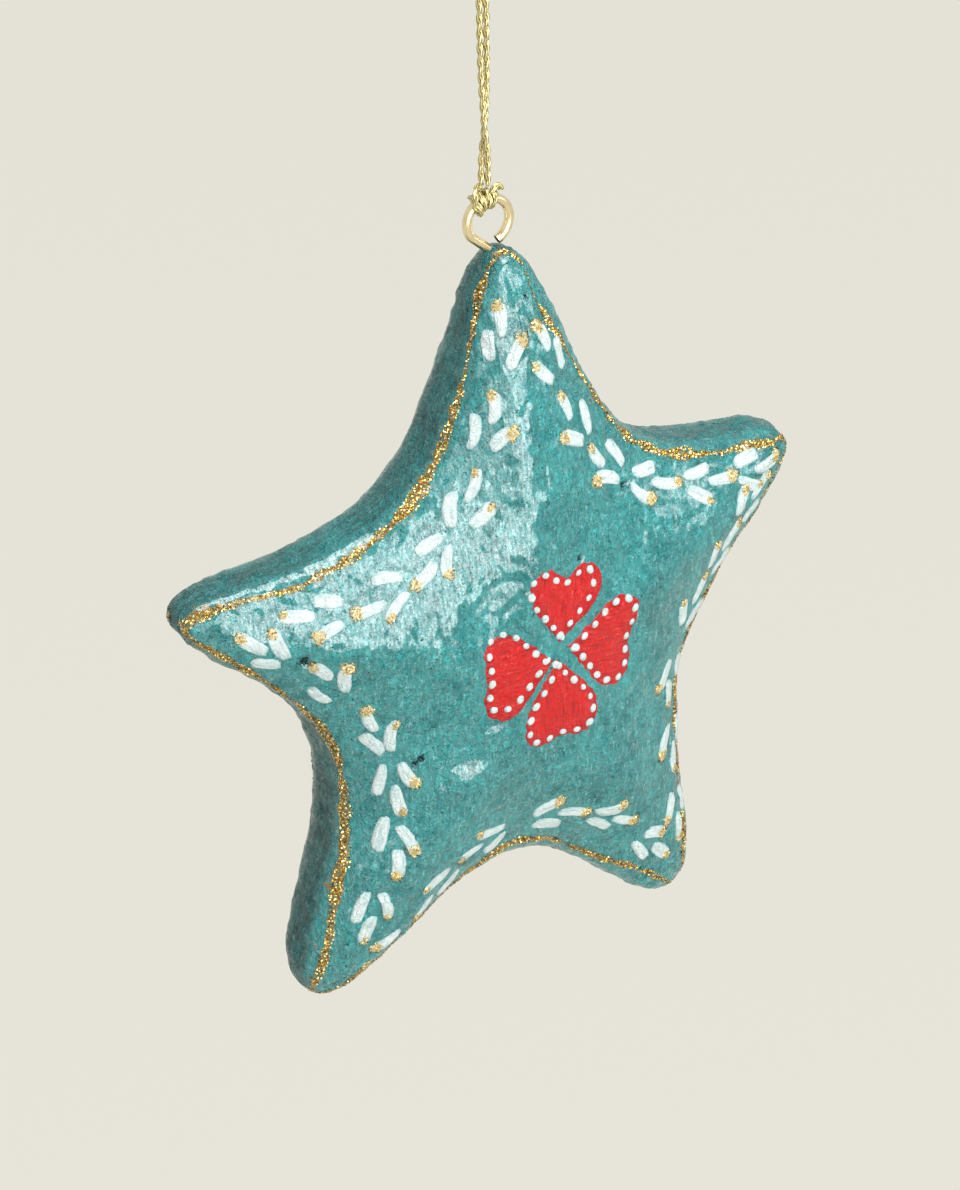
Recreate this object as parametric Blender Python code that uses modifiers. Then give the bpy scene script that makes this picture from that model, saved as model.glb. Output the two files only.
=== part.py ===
"""Papier mache star ornament, hanging on a loop of gold cord.

Two hollow half shells meet at a joint half way through the star. A paper strip closes the
joint from inside, and a wooden plug in the top arm holds the shank of a brass screw eye.
The cord is hitched round the eye. Its two legs wind round each other on their way up to the
loop that the ornament hangs by.

X is to the right, Z is up and the decorated front faces -Y. The world's origin is the point
inside the top of the loop, where a hook or a twig carries the ornament. Units are metres.
"""

from dataclasses import dataclass
from math import cos, pi, radians, sin

import bmesh
import bpy
from mathutils import Vector

MM = 0.001


@dataclass(frozen=True)
class Arm:
    """One arm of the star, as its hand-made outline has it."""

    angle: float
    reach: float
    tip_half_width: float


@dataclass(frozen=True)
class Valley:
    """The hollow of the outline between one arm and the next, going anticlockwise."""

    angle: float
    reach: float


@dataclass(frozen=True)
class Row:
    """One row of a half shell's cage, as depths in front of the joint and distances from the outline."""

    share: float
    tip_inset: float
    valley_inset: float
    tip_depth: float
    valley_depth: float


# Main sizes of the star's outline: from its centre to a tip and to a valley, and half a tip's width
ARM_REACH = 58.0 * MM
VALLEY_REACH = 24.4 * MM
TIP_HALF_WIDTH = 5.2 * MM

# Outline of the star, from the top arm anticlockwise as the front shows it. It is made by hand,
# so each arm and valley has its own share of the main sizes.
ARMS = (
    Arm(88.7, 1.067 * ARM_REACH, 0.942 * TIP_HALF_WIDTH),
    Arm(161.6, 0.964 * ARM_REACH, 0.808 * TIP_HALF_WIDTH),
    Arm(235.3, 1.041 * ARM_REACH, 1.212 * TIP_HALF_WIDTH),
    Arm(300.5, 0.998 * ARM_REACH, 1.135 * TIP_HALF_WIDTH),
    Arm(22.6, 0.924 * ARM_REACH, 0.923 * TIP_HALF_WIDTH),
)
VALLEYS = (
    Valley(118.7, 0.984 * VALLEY_REACH),
    Valley(198.2, 0.906 * VALLEY_REACH),
    Valley(267.7, 0.996 * VALLEY_REACH),
    Valley(344.4, 0.967 * VALLEY_REACH),
    Valley(51.4, 1.148 * VALLEY_REACH),
)

# Sideways place of the outline about the line of the screw eye, so that the star hangs straight
STAR_SHIFT = 0.29 * MM

# Depth of the star in front of the joint, and the same behind it
RIM_DEPTH_AT_TIP = 3.8 * MM
RIM_DEPTH_AT_VALLEY = 5.8 * MM
RIM_INSET_AT_TIP = 0.4 * MM
RIM_INSET_AT_VALLEY = 0.2 * MM
SHOULDER_SHARE = 0.72
SHOULDER_DEPTH_AT_TIP = 8.2 * MM
SHOULDER_DEPTH_AT_VALLEY = 10.6 * MM
CROWN_SHARE = 0.38
CROWN_DEPTH = 12.7 * MM
DOME_DEPTH = 13.4 * MM

# Narrowing of an arm's tip on each side, as a share of how far its row is drawn in
TIP_TAPER = 0.35

# Shell, joint and the paper strip inside the joint
SHELL_THICKNESS = 2.2 * MM
SOLID_TIP_LENGTH = 10.0 * MM
JOINT_GAP = 0.3 * MM
STRIP_CLEARANCE = 0.35 * MM
STRIP_THICKNESS = 0.6 * MM
STRIP_WIDTH = 2.6 * MM
OUTLINE_STEPS = 4
SHELL_LEVELS = 2

# Screw eye and the plug that holds it
WIRE_DIAMETER = 1.4 * MM
RING_RADIUS = 3.4 * MM
NECK_RISE = 0.5 * MM
SHANK_LENGTH = 17.0 * MM
SHANK_POINT_LENGTH = 2.0 * MM
SHANK_POINT_SHARE = 0.25
SHANK_BEND_RISE = 0.35 * MM
BORE_CLEARANCE = 0.3 * MM
PLUG_LENGTH = 14.0 * MM
PLUG_CLEARANCE = 0.35 * MM
EYE_START_ANGLE = 212.0
EYE_END_ANGLE = -66.0
EYE_STEPS = 30
WIRE_RESOLUTION = 3
BORE_SIDES = 16

# Gold cord: its hitch round the eye, its two legs and its loop
CORD_DIAMETER = 0.95 * MM
CORD_GAP = 0.42 * MM
HITCH_CLEARANCE = 0.3 * MM
HITCH_LOOPS = 2
HITCH_PITCH = 42.0
HITCH_STEPS = 24
HITCH_FIRST_TURN = 90.0
HITCH_END_RISE = 3.6 * MM
HITCH_END_OFFSET = 1.22 * MM
PIECE_GAP = 0.3 * MM
CORD_LIFT = 57.0 * MM
TOP_LOOP_HEIGHT = 11.0 * MM
TOP_LOOP_RADIUS = 2.6 * MM
TOP_LOOP_STEPS = 12
CORD_POINT_STEP = 2.4 * MM
CORD_RESOLUTION = 2
HITCH_RESOLUTION = 1

# Points closer along a tube than this many diameters are neighbours and not a gap
NEIGHBOUR_DIAMETERS = 2.5

# Route of a hitch's end from the wire's side up to its leg, as shares of the end's offset to
# the side, and of the winding's radius to the front and upwards
HITCH_END_ROUTE = (
    (1.03, 1.0, 0.0),
    (1.0, 0.92, 0.62),
    (0.98, 0.55, 1.25),
)

# Turn of the right leg about the cord's axis: height over the leg's foot, angle, and distance
# from the axis over the one at which the legs lie a cord gap apart
RIGHT_LEG = (
    (0.0 * MM, -14.0, 0.17 * MM),
    (1.2 * MM, -18.0, 0.15 * MM),
    (3.5 * MM, -70.0, 0.03 * MM),
    (6.8 * MM, -120.0, 0.0),
    (12.0 * MM, -160.0, 0.0),
    (18.0 * MM, -195.0, 0.0),
    (27.0 * MM, -205.0, 0.0),
    (36.0 * MM, -188.0, 0.0),
)
LEG_TOP_ANGLE = -180.0

# Route of the loop between a leg and its arch: rise over the leg that stays straight, and the
# shoulder's width and its drop under the arch, as shares of the loop's rise and radius
LOOP_STRAIGHT_SHARE = 0.18
LOOP_SHOULDER_WIDTH = 0.62
LOOP_SHOULDER_DROP = 0.40


def direction(angle):
    """Unit vector in the star's plane, for an angle from +X towards +Z in degrees."""
    return Vector((cos(radians(angle)), 0.0, sin(radians(angle))))


def clear_scene():
    """Remove what the new file starts with."""
    for old in list(bpy.data.objects):
        bpy.data.objects.remove(old, do_unlink=True)


def new_collection(name):
    """Make a collection under the scene's own."""
    collection = bpy.data.collections.new(name)
    bpy.context.scene.collection.children.link(collection)
    return collection


def make_material(name, colour, roughness, metallic):
    """Make a Principled material."""
    material = bpy.data.materials.new(name)
    material.use_nodes = True
    shader = material.node_tree.nodes["Principled BSDF"]
    shader.inputs["Base Color"].default_value = (*colour, 1.0)
    shader.inputs["Roughness"].default_value = roughness
    shader.inputs["Metallic"].default_value = metallic
    return material


def add_object(name, data, collection, parent, material=None):
    """Link an object whose data is measured from its parent empty."""
    obj = bpy.data.objects.new(name, data)
    collection.objects.link(obj)
    obj.parent = parent
    if material is not None:
        obj.data.materials.append(material)
    return obj


def add_empty(name, location, collection, parent=None):
    """Place an empty on a joint's axis, measured from its parent."""
    empty = bpy.data.objects.new(name, None)
    empty.empty_display_size = 4.0 * MM
    empty.location = location
    empty.parent = parent
    collection.objects.link(empty)
    return empty


def make_cutter(name, mesh, collection, parent):
    """Add a cutter that shows as wire and isn't part of the ornament."""
    cutter = add_object(name, mesh, collection, parent)
    cutter.hide_render = True
    cutter.display_type = "WIRE"
    return cutter


def add_boolean(obj, cutter, operation):
    """Cut or limit an object by a cutter."""
    modifier = obj.modifiers.new(cutter.name, "BOOLEAN")
    modifier.operation = operation
    modifier.object = cutter
    modifier.solver = "EXACT"


def row_points(row, side):
    """Three cage points for each arm of one row: two at the tip and one in the valley after it."""
    points = []
    for arm, valley in zip(ARMS, VALLEYS):
        out = direction(arm.angle)
        across = direction(arm.angle + 90.0)
        reach = (arm.reach - row.tip_inset) * row.share
        half_width = (arm.tip_half_width - TIP_TAPER * row.tip_inset) * row.share
        depth = Vector((0.0, side * row.tip_depth, 0.0))
        points.append(out * reach - across * half_width + depth)
        points.append(out * reach + across * half_width + depth)
        valley_reach = (valley.reach - row.valley_inset) * row.share
        points.append(direction(valley.angle) * valley_reach + Vector((0.0, side * row.valley_depth, 0.0)))
    return points


def outer_rows():
    """Rows of the outer skin, from the joint to the crown."""
    half_gap = JOINT_GAP / 2
    return (
        Row(1.0, 0.0, 0.0, half_gap, half_gap),
        Row(1.0, 0.0, 0.0, RIM_DEPTH_AT_TIP / 2, RIM_DEPTH_AT_VALLEY / 2),
        Row(1.0, RIM_INSET_AT_TIP, RIM_INSET_AT_VALLEY, RIM_DEPTH_AT_TIP, RIM_DEPTH_AT_VALLEY),
        Row(SHOULDER_SHARE, 0.0, 0.0, SHOULDER_DEPTH_AT_TIP, SHOULDER_DEPTH_AT_VALLEY),
        Row(CROWN_SHARE, 0.0, 0.0, CROWN_DEPTH, CROWN_DEPTH),
    )


def inner_rows(clearance, lip_depth):
    """Rows of the cavity, from the joint to its shoulder, with a clearance inside it."""
    tip_inset = SOLID_TIP_LENGTH + clearance
    valley_inset = SHELL_THICKNESS + clearance
    less = SHELL_THICKNESS + clearance
    wall_at_tip = (RIM_DEPTH_AT_TIP + SHOULDER_DEPTH_AT_TIP) / 2 - less
    wall_at_valley = RIM_DEPTH_AT_VALLEY - less
    shoulder_share = (SHOULDER_SHARE + CROWN_SHARE) / 2
    shoulder_at_tip = (SHOULDER_DEPTH_AT_TIP + CROWN_DEPTH) / 2 - less
    shoulder_at_valley = (SHOULDER_DEPTH_AT_VALLEY + CROWN_DEPTH) / 2 - less
    return (
        Row(1.0, tip_inset, valley_inset, lip_depth, lip_depth),
        Row(1.0, tip_inset, valley_inset, wall_at_tip, wall_at_valley),
        Row(shoulder_share, 0.0, valley_inset, shoulder_at_tip, shoulder_at_valley),
    )


def add_rows(bm, rows):
    """Add each row's points to a mesh and join neighbouring rows by quads."""
    rings = [[bm.verts.new(point) for point in row] for row in rows]
    for ring, next_ring in zip(rings[:-1], rings[1:]):
        bridge(bm, ring, next_ring)
    return rings


def bridge(bm, ring, next_ring):
    """Join two rings of the same count by quads."""
    count = len(ring)
    for i in range(count):
        j = (i + 1) % count
        bm.faces.new((ring[i], ring[j], next_ring[j], next_ring[i]))


def close_dome(bm, ring, depth):
    """Close a row to a point at the middle of a dome."""
    pole = bm.verts.new((0.0, depth, 0.0))
    for i, vertex in enumerate(ring):
        bm.faces.new((vertex, ring[(i + 1) % len(ring)], pole))


def crease_ring(bm, ring):
    """Keep a ring of edges sharp under subdivision."""
    layer = bm.edges.layers.float.get("crease_edge") or bm.edges.layers.float.new("crease_edge")
    for i, vertex in enumerate(ring):
        edge = bm.edges.get((vertex, ring[(i + 1) % len(ring)]))
        edge[layer] = 1.0


def finish_mesh(bm, name):
    """Turn a closed cage into a smooth mesh with its faces outwards."""
    bmesh.ops.recalc_face_normals(bm, faces=bm.faces)
    mesh = bpy.data.meshes.new(name)
    bm.to_mesh(mesh)
    bm.free()
    mesh.shade_smooth()
    return mesh


def subdivide(obj, levels):
    """Add a Subdivision Surface whose render shows what the viewport shows."""
    modifier = obj.modifiers.new("Subdivision", "SUBSURF")
    modifier.levels = levels
    modifier.render_levels = levels


def shell_cage(name, side):
    """Cage of one hollow half shell: -1 is the front half and +1 is the rear half."""
    bm = bmesh.new()
    outer = add_rows(bm, [row_points(row, side) for row in outer_rows()])
    close_dome(bm, outer[-1], side * DOME_DEPTH)
    inner = add_rows(bm, [row_points(row, side) for row in inner_rows(0.0, JOINT_GAP / 2)])
    close_dome(bm, inner[-1], side * (DOME_DEPTH - SHELL_THICKNESS))
    bridge(bm, outer[0], inner[0])
    crease_ring(bm, outer[0])
    crease_ring(bm, inner[0])
    return finish_mesh(bm, name)


def cavity_form(name, clearance):
    """Closed cage of the star's cavity, drawn in by a clearance."""
    rows = inner_rows(clearance, 0.0)
    front = [row_points(row, -1) for row in reversed(rows)]
    rear = [row_points(row, 1) for row in rows[1:]]
    bm = bmesh.new()
    rings = add_rows(bm, front + rear)
    depth = DOME_DEPTH - SHELL_THICKNESS - clearance
    close_dome(bm, rings[0], -depth)
    close_dome(bm, rings[-1], depth)
    return finish_mesh(bm, name)


def smooth_outline(points, steps):
    """Points on the closed smooth curve that a ring of cage points stands for."""
    count = len(points)
    smooth = []
    for i in range(count):
        a, b, c, d = (points[(i + k) % count] for k in (-1, 0, 1, 2))
        for step in range(steps):
            t = step / steps
            weight_a = (1 - t) ** 3 / 6
            weight_b = (3 * t ** 3 - 6 * t ** 2 + 4) / 6
            weight_c = (-3 * t ** 3 + 3 * t ** 2 + 3 * t + 1) / 6
            weight_d = t ** 3 / 6
            smooth.append(a * weight_a + b * weight_b + c * weight_c + d * weight_d)
    return smooth


def smooth_path(points, step):
    """Points about a step apart on a smooth curve through hand-placed points."""
    path = []
    for i in range(len(points) - 1):
        before = points[max(i - 1, 0)]
        start, end = points[i], points[i + 1]
        after = points[min(i + 2, len(points) - 1)]
        pieces = max(1, round((end - start).length / step))
        for k in range(pieces):
            t = k / pieces
            path.append(0.5 * (2 * start + (end - before) * t
                               + (2 * before - 5 * start + 4 * end - after) * t ** 2
                               + (3 * start - before - 3 * end + after) * t ** 3))
    path.append(points[-1].copy())
    return path


def cylinder_mesh(name, radius, bottom, top):
    """Upright cylinder between two heights."""
    bm = bmesh.new()
    bmesh.ops.create_cone(bm, cap_ends=True, segments=BORE_SIDES, radius1=radius, radius2=radius,
                          depth=top - bottom)
    bmesh.ops.translate(bm, verts=bm.verts, vec=(0.0, 0.0, (top + bottom) / 2))
    return finish_mesh(bm, name)


def box_mesh(name, half_width, half_depth, bottom, top):
    """Upright box between two heights."""
    bm = bmesh.new()
    bmesh.ops.create_cube(bm, size=1.0)
    bmesh.ops.scale(bm, verts=bm.verts, vec=(2 * half_width, 2 * half_depth, top - bottom))
    bmesh.ops.translate(bm, verts=bm.verts, vec=(0.0, 0.0, (top + bottom) / 2))
    return finish_mesh(bm, name)


def tube(name, path, diameter, resolution, collection, parent, material):
    """Round cord or wire along a path, with filled ends."""
    curve = bpy.data.curves.new(name, "CURVE")
    curve.dimensions = "3D"
    curve.bevel_depth = diameter / 2
    curve.bevel_resolution = resolution
    curve.use_fill_caps = True
    spline = curve.splines.new("POLY")
    spline.points.add(len(path) - 1)
    for target, point in zip(spline.points, path):
        target.co = (*point, 1.0)
    spline.use_smooth = True
    return add_object(name, curve, collection, parent, material)


def tip_height():
    """Height of the top arm's tip over the star's centre, at the joint."""
    return max(point.z for point in smooth_outline(row_points(outer_rows()[0], -1), OUTLINE_STEPS))


def make_star(collection, cutters, star_centre, materials):
    """Half shells, plug and joint strip, measured from the star's centre."""
    tip_top = tip_height()
    bore_radius = WIRE_DIAMETER / 2 + BORE_CLEARANCE
    bore_bottom = tip_top - SHANK_LENGTH - BORE_CLEARANCE
    bore_mesh = cylinder_mesh("shank_bore", bore_radius, bore_bottom, tip_top + RING_RADIUS)
    bore = make_cutter("shank_bore", bore_mesh, cutters, star_centre)
    for name, side in (("front_shell", -1), ("rear_shell", 1)):
        shell = add_object(name, shell_cage(name, side), collection, star_centre, materials["teal_paper"])
        subdivide(shell, SHELL_LEVELS)
        add_boolean(shell, bore, "DIFFERENCE")
    cavity_top = ARMS[0].reach - SOLID_TIP_LENGTH
    plug_bottom = cavity_top - PLUG_LENGTH
    make_plug(collection, cutters, star_centre, materials, plug_bottom, bore)
    make_strip(collection, cutters, star_centre, materials, plug_bottom)


def make_plug(collection, cutters, star_centre, materials, plug_bottom, bore):
    """Wooden plug that fills the top arm's cavity, bored for the shank."""
    plug = add_object("tip_plug", cavity_form("tip_plug", PLUG_CLEARANCE), collection, star_centre,
                      materials["wood"])
    subdivide(plug, SHELL_LEVELS)
    half_width = ARMS[0].reach
    arm_box = box_mesh("top_arm", half_width, half_width, plug_bottom, ARMS[0].reach)
    limit = make_cutter("top_arm", arm_box, cutters, star_centre)
    add_boolean(plug, limit, "INTERSECT")
    add_boolean(plug, bore, "DIFFERENCE")


def make_strip(collection, cutters, star_centre, materials, plug_bottom):
    """Paper strip glued over the joint from inside, from one side of the plug round to the other."""
    ring = smooth_outline(row_points(inner_rows(STRIP_CLEARANCE, 0.0)[0], -1), OUTLINE_STEPS)
    bm = bmesh.new()
    sides = []
    for depth in (-STRIP_WIDTH / 2, STRIP_WIDTH / 2):
        sides.append([bm.verts.new((point.x, depth, point.z)) for point in ring])
    bridge(bm, *sides)
    bmesh.ops.recalc_face_normals(bm, faces=bm.faces)
    mesh = bpy.data.meshes.new("joint_strip")
    bm.to_mesh(mesh)
    bm.free()
    strip = add_object("joint_strip", mesh, collection, star_centre, materials["bare_paper"])
    solid = strip.modifiers.new("Thickness", "SOLIDIFY")
    solid.thickness = STRIP_THICKNESS
    solid.offset = -1.0
    solid.use_even_offset = True
    half_width = ARMS[0].reach
    plug_space = box_mesh("plug_space", half_width, half_width, plug_bottom - STRIP_CLEARANCE, ARMS[0].reach)
    add_boolean(strip, make_cutter("plug_space", plug_space, cutters, star_centre), "DIFFERENCE")


def make_screw_eye(collection, ring_centre, materials):
    """Brass wire from the shank's point, up the neck and clockwise round the ring to its cut end."""
    neck = -neck_length()
    shank_bottom = neck - SHANK_LENGTH
    stem = [
        Vector((0.0, 0.0, shank_bottom)),
        Vector((0.0, 0.0, shank_bottom + SHANK_POINT_LENGTH)),
        Vector((0.0, 0.0, (neck + shank_bottom) / 2)),
        Vector((0.0, 0.0, neck)),
        Vector((0.0, 0.0, neck + SHANK_BEND_RISE)),
    ]
    turn = EYE_START_ANGLE - EYE_END_ANGLE
    ring = [direction(EYE_START_ANGLE - turn * i / EYE_STEPS) * RING_RADIUS for i in range(EYE_STEPS + 1)]
    path = smooth_path(stem + ring[:1], WIRE_DIAMETER)[:-1] + ring
    eye = tube("screw_eye", path, WIRE_DIAMETER, WIRE_RESOLUTION, collection, ring_centre,
               materials["brass"])
    eye.data.splines[0].points[0].radius = SHANK_POINT_SHARE


def neck_length():
    """Distance from the ring's centre down to the star's tip."""
    return RING_RADIUS + WIRE_DIAMETER / 2 + NECK_RISE


def hitch_path():
    """Cord wound round the top of the ring, measured from the middle of the wire there."""
    radius = WIRE_DIAMETER / 2 + HITCH_CLEARANCE + CORD_DIAMETER / 2
    total = 360.0 * HITCH_LOOPS - 180.0
    steps = round(HITCH_STEPS * total / 360.0)
    path = []
    for i in range(steps + 1):
        wound = total * i / steps
        ring_angle = 90.0 + HITCH_PITCH * (wound - total / 2) / 360.0
        out = direction(ring_angle)
        turn = radians(HITCH_FIRST_TURN + wound)
        point = out * (RING_RADIUS + radius * cos(turn)) + Vector((0.0, -radius * sin(turn), 0.0))
        path.append(point - Vector((0.0, 0.0, RING_RADIUS)))
    wound = path[2:-2]
    start = rising_end(wound[0], radius, 1)
    end = rising_end(wound[-1], radius, -1)
    return start[::-1] + wound[1:-1] + end


def rising_end(wound_end, radius, side):
    """Points where the hitch leaves the wire and rises to a leg: right and front, or left and rear."""
    foot = leg_points(side)[0]
    rise = [
        Vector((side * across * HITCH_END_OFFSET, -side * forward * radius, up * radius))
        for across, forward, up in HITCH_END_ROUTE
    ]
    straight = [Vector((foot.x, foot.y, HITCH_END_RISE - less)) for less in (CORD_DIAMETER, 0.0)]
    return smooth_path([wound_end] + rise + straight, CORD_DIAMETER / 2)


def least_gap(path, diameter):
    """Least gap of a tube to itself, between points that aren't neighbours along it."""
    lengths = [0.0]
    for a, b in zip(path[:-1], path[1:]):
        lengths.append(lengths[-1] + (b - a).length)
    gaps = [
        (path[i] - path[j]).length
        for i in range(len(path))
        for j in range(i)
        if lengths[i] - lengths[j] > NEIGHBOUR_DIAMETERS * diameter
    ]
    return min(gaps) - diameter


def leg_points(side):
    """Points of one leg over its own foot: 1 is the right leg and -1 is the left one."""
    turn = 0.0 if side > 0 else 180.0
    spread = (CORD_DIAMETER + CORD_GAP) / 2
    rows = RIGHT_LEG + ((leg_length(), LEG_TOP_ANGLE, 0.0),)
    points = []
    for height, angle, more in rows:
        around = radians(angle + turn)
        distance = spread + more
        points.append(Vector((distance * cos(around), distance * sin(around), height)))
    return points


def leg_length():
    """Height from the legs' feet to their tops, with a gap at each end."""
    return CORD_LIFT - TOP_LOOP_HEIGHT - HITCH_END_RISE - 2 * PIECE_GAP


def make_cord(collection, hanger, swivel, ring_top, materials):
    """Loop over the hanging point, two legs that wind round each other, and the hitch on the eye."""
    hitch = hitch_path()
    print(f"cord_hitch: least gap to itself {least_gap(hitch, CORD_DIAMETER) / MM:.2f} mm")
    tube("cord_hitch", hitch, CORD_DIAMETER, HITCH_RESOLUTION, collection, ring_top, materials["gold_cord"])
    down = Vector((0.0, 0.0, -leg_length()))
    for name, side in (("cord_leg_right", 1), ("cord_leg_left", -1)):
        leg = [point + down for point in smooth_path(leg_points(side), CORD_POINT_STEP)]
        tube(name, leg, CORD_DIAMETER, CORD_RESOLUTION, collection, swivel, materials["gold_cord"])
    top = top_loop_path()
    tube("cord_top_loop", top, CORD_DIAMETER, CORD_RESOLUTION, collection, hanger, materials["gold_cord"])


def top_loop_path():
    """Loop of cord whose inside top is the hanging point, from over the right leg to over the left."""
    arch_height = CORD_DIAMETER / 2 - TOP_LOOP_RADIUS
    foot_right = leg_points(1)[-1]
    side = 1.0 if foot_right.x > 0 else -1.0
    rise = TOP_LOOP_HEIGHT + arch_height
    right = [
        Vector((foot_right.x, foot_right.y, -TOP_LOOP_HEIGHT)),
        Vector((foot_right.x, foot_right.y, -TOP_LOOP_HEIGHT + LOOP_STRAIGHT_SHARE * rise)),
        Vector((side * LOOP_SHOULDER_WIDTH * TOP_LOOP_RADIUS, 0.0, arch_height - LOOP_SHOULDER_DROP * rise)),
    ]
    left = [Vector((-point.x, -point.y, point.z)) for point in reversed(right)]
    arch = []
    for i in range(TOP_LOOP_STEPS + 1):
        around = pi * i / TOP_LOOP_STEPS
        arch.append(Vector((side * TOP_LOOP_RADIUS * cos(around), 0.0,
                            arch_height + TOP_LOOP_RADIUS * sin(around))))
    return (smooth_path(right + arch[:1], CORD_POINT_STEP)[:-1] + arch[:-1]
            + smooth_path(arch[-1:] + left, CORD_POINT_STEP))


def make_materials():
    """Materials by name: colour, roughness and metallic value of each."""
    return {
        "teal_paper": make_material("teal_paper", (0.045, 0.20, 0.20), 0.35, 0.0),
        "bare_paper": make_material("bare_paper", (0.62, 0.56, 0.45), 0.9, 0.0),
        "wood": make_material("wood", (0.55, 0.38, 0.22), 0.7, 0.0),
        "brass": make_material("brass", (0.80, 0.62, 0.32), 0.25, 1.0),
        "gold_cord": make_material("gold_cord", (0.75, 0.60, 0.30), 0.45, 0.6),
    }


def main():
    """Build the ornament."""
    clear_scene()
    collection = new_collection("papier_mache_star_ornament")
    cutters = new_collection("cutters")
    materials = make_materials()
    hanger = add_empty("hanging_point", (0.0, 0.0, 0.0), collection)
    swivel = add_empty("cord_twist", (0.0, 0.0, -TOP_LOOP_HEIGHT - PIECE_GAP), collection, hanger)
    ring_top_drop = CORD_LIFT - TOP_LOOP_HEIGHT - PIECE_GAP
    ring_top = add_empty("ring_swing", (0.0, 0.0, -ring_top_drop), collection, swivel)
    ring_centre = add_empty("ring_slide", (0.0, 0.0, -RING_RADIUS), collection, ring_top)
    star_centre = add_empty("star_centre", (STAR_SHIFT, 0.0, -neck_length() - tip_height()), collection,
                            ring_centre)
    make_cord(collection, hanger, swivel, ring_top, materials)
    make_screw_eye(collection, ring_centre, materials)
    make_star(collection, cutters, star_centre, materials)
    bpy.context.view_layer.update()


main()
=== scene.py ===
"""Looks of a papier mache star ornament that hangs on a gold cord.

The star's skin is a smooth spline form with pasted paper's relief. Leaves, petals and dots are
raised strokes of paint laid on it, and glitter is scattered as single flakes. The cord is laid
from two plies along the route of its solids. Units are metres, X is to the right, Z is up and
the painted front faces -Y.
"""

import logging
import random
from dataclasses import dataclass, field
from enum import Enum
from math import atan2, copysign, cos, degrees, hypot, pi, radians, sin
from typing import Any, Sequence

import bpy
import numpy as np
from mathutils import Matrix, Vector, noise
from mathutils.bvhtree import BVHTree


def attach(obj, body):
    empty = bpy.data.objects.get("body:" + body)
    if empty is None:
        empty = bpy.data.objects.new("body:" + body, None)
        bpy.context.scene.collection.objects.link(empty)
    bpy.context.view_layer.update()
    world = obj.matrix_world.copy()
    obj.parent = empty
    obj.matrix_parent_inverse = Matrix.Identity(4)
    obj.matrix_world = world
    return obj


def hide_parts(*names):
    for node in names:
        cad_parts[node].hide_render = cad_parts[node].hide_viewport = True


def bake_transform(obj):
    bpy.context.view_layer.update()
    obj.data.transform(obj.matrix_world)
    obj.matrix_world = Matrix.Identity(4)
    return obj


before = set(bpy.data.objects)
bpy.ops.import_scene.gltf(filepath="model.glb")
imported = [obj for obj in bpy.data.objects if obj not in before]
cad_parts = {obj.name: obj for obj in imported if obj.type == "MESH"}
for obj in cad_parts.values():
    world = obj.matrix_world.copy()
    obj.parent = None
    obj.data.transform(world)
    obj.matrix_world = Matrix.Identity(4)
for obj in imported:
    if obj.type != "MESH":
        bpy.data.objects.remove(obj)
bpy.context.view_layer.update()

MM = 0.001
LOG = logging.getLogger("star_ornament")
Triple = tuple[float, float, float]
Pairs = tuple[tuple[float, float], ...]
Spot = tuple[Vector, Vector]


class Side(Enum):
    """Half of the star that a point lies on."""

    FRONT = -1
    REAR = 1


class Value:
    """A number's socket that takes part in Python arithmetic."""

    def __init__(self, tree: "NodeTree", socket: bpy.types.NodeSocket) -> None:
        """Wrap a socket of a tree that new Math nodes go into."""
        self.tree = tree
        self.socket = socket

    def math(self, operation: str, *others: "Value | float", clamp: bool = False) -> "Value":
        """Add a Math node on this value.

        Args:
            operation: Blender's name of the operation.
            others: Further operands.
            clamp: Whether the result is kept from 0 to 1.

        Returns:
            The result.
        """
        operands = dict(enumerate((self, *others)))
        node = self.tree.add("ShaderNodeMath", {"operation": operation, "use_clamp": clamp}, operands)
        return Value(self.tree, node.outputs[0])

    def __add__(self, other: "Value | float") -> "Value":
        """Sum."""
        return self.math("ADD", other)

    def __sub__(self, other: "Value | float") -> "Value":
        """Difference."""
        return self.math("SUBTRACT", other)

    def __rsub__(self, other: float) -> "Value":
        """Difference from a number on the left."""
        return self.tree.number(other).math("SUBTRACT", self)

    def __mul__(self, other: "Value | float") -> "Value":
        """Product."""
        return self.math("MULTIPLY", other)

    __radd__ = __add__
    __rmul__ = __mul__

    def clamp(self) -> "Value":
        """This value kept from 0 to 1."""
        return self.math("ADD", 0.0, clamp=True)

    def step(self, low: float, high: float) -> "Value":
        """Smooth step of this value.

        Args:
            low: Value that gives 0.
            high: Value that gives 1.

        Returns:
            The step, from 0 to 1.
        """
        ends = {"Value": self, "From Min": low, "From Max": high}
        node = self.tree.add("ShaderNodeMapRange", {"interpolation_type": "SMOOTHSTEP"}, ends)
        return Value(self.tree, node.outputs["Result"])


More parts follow.
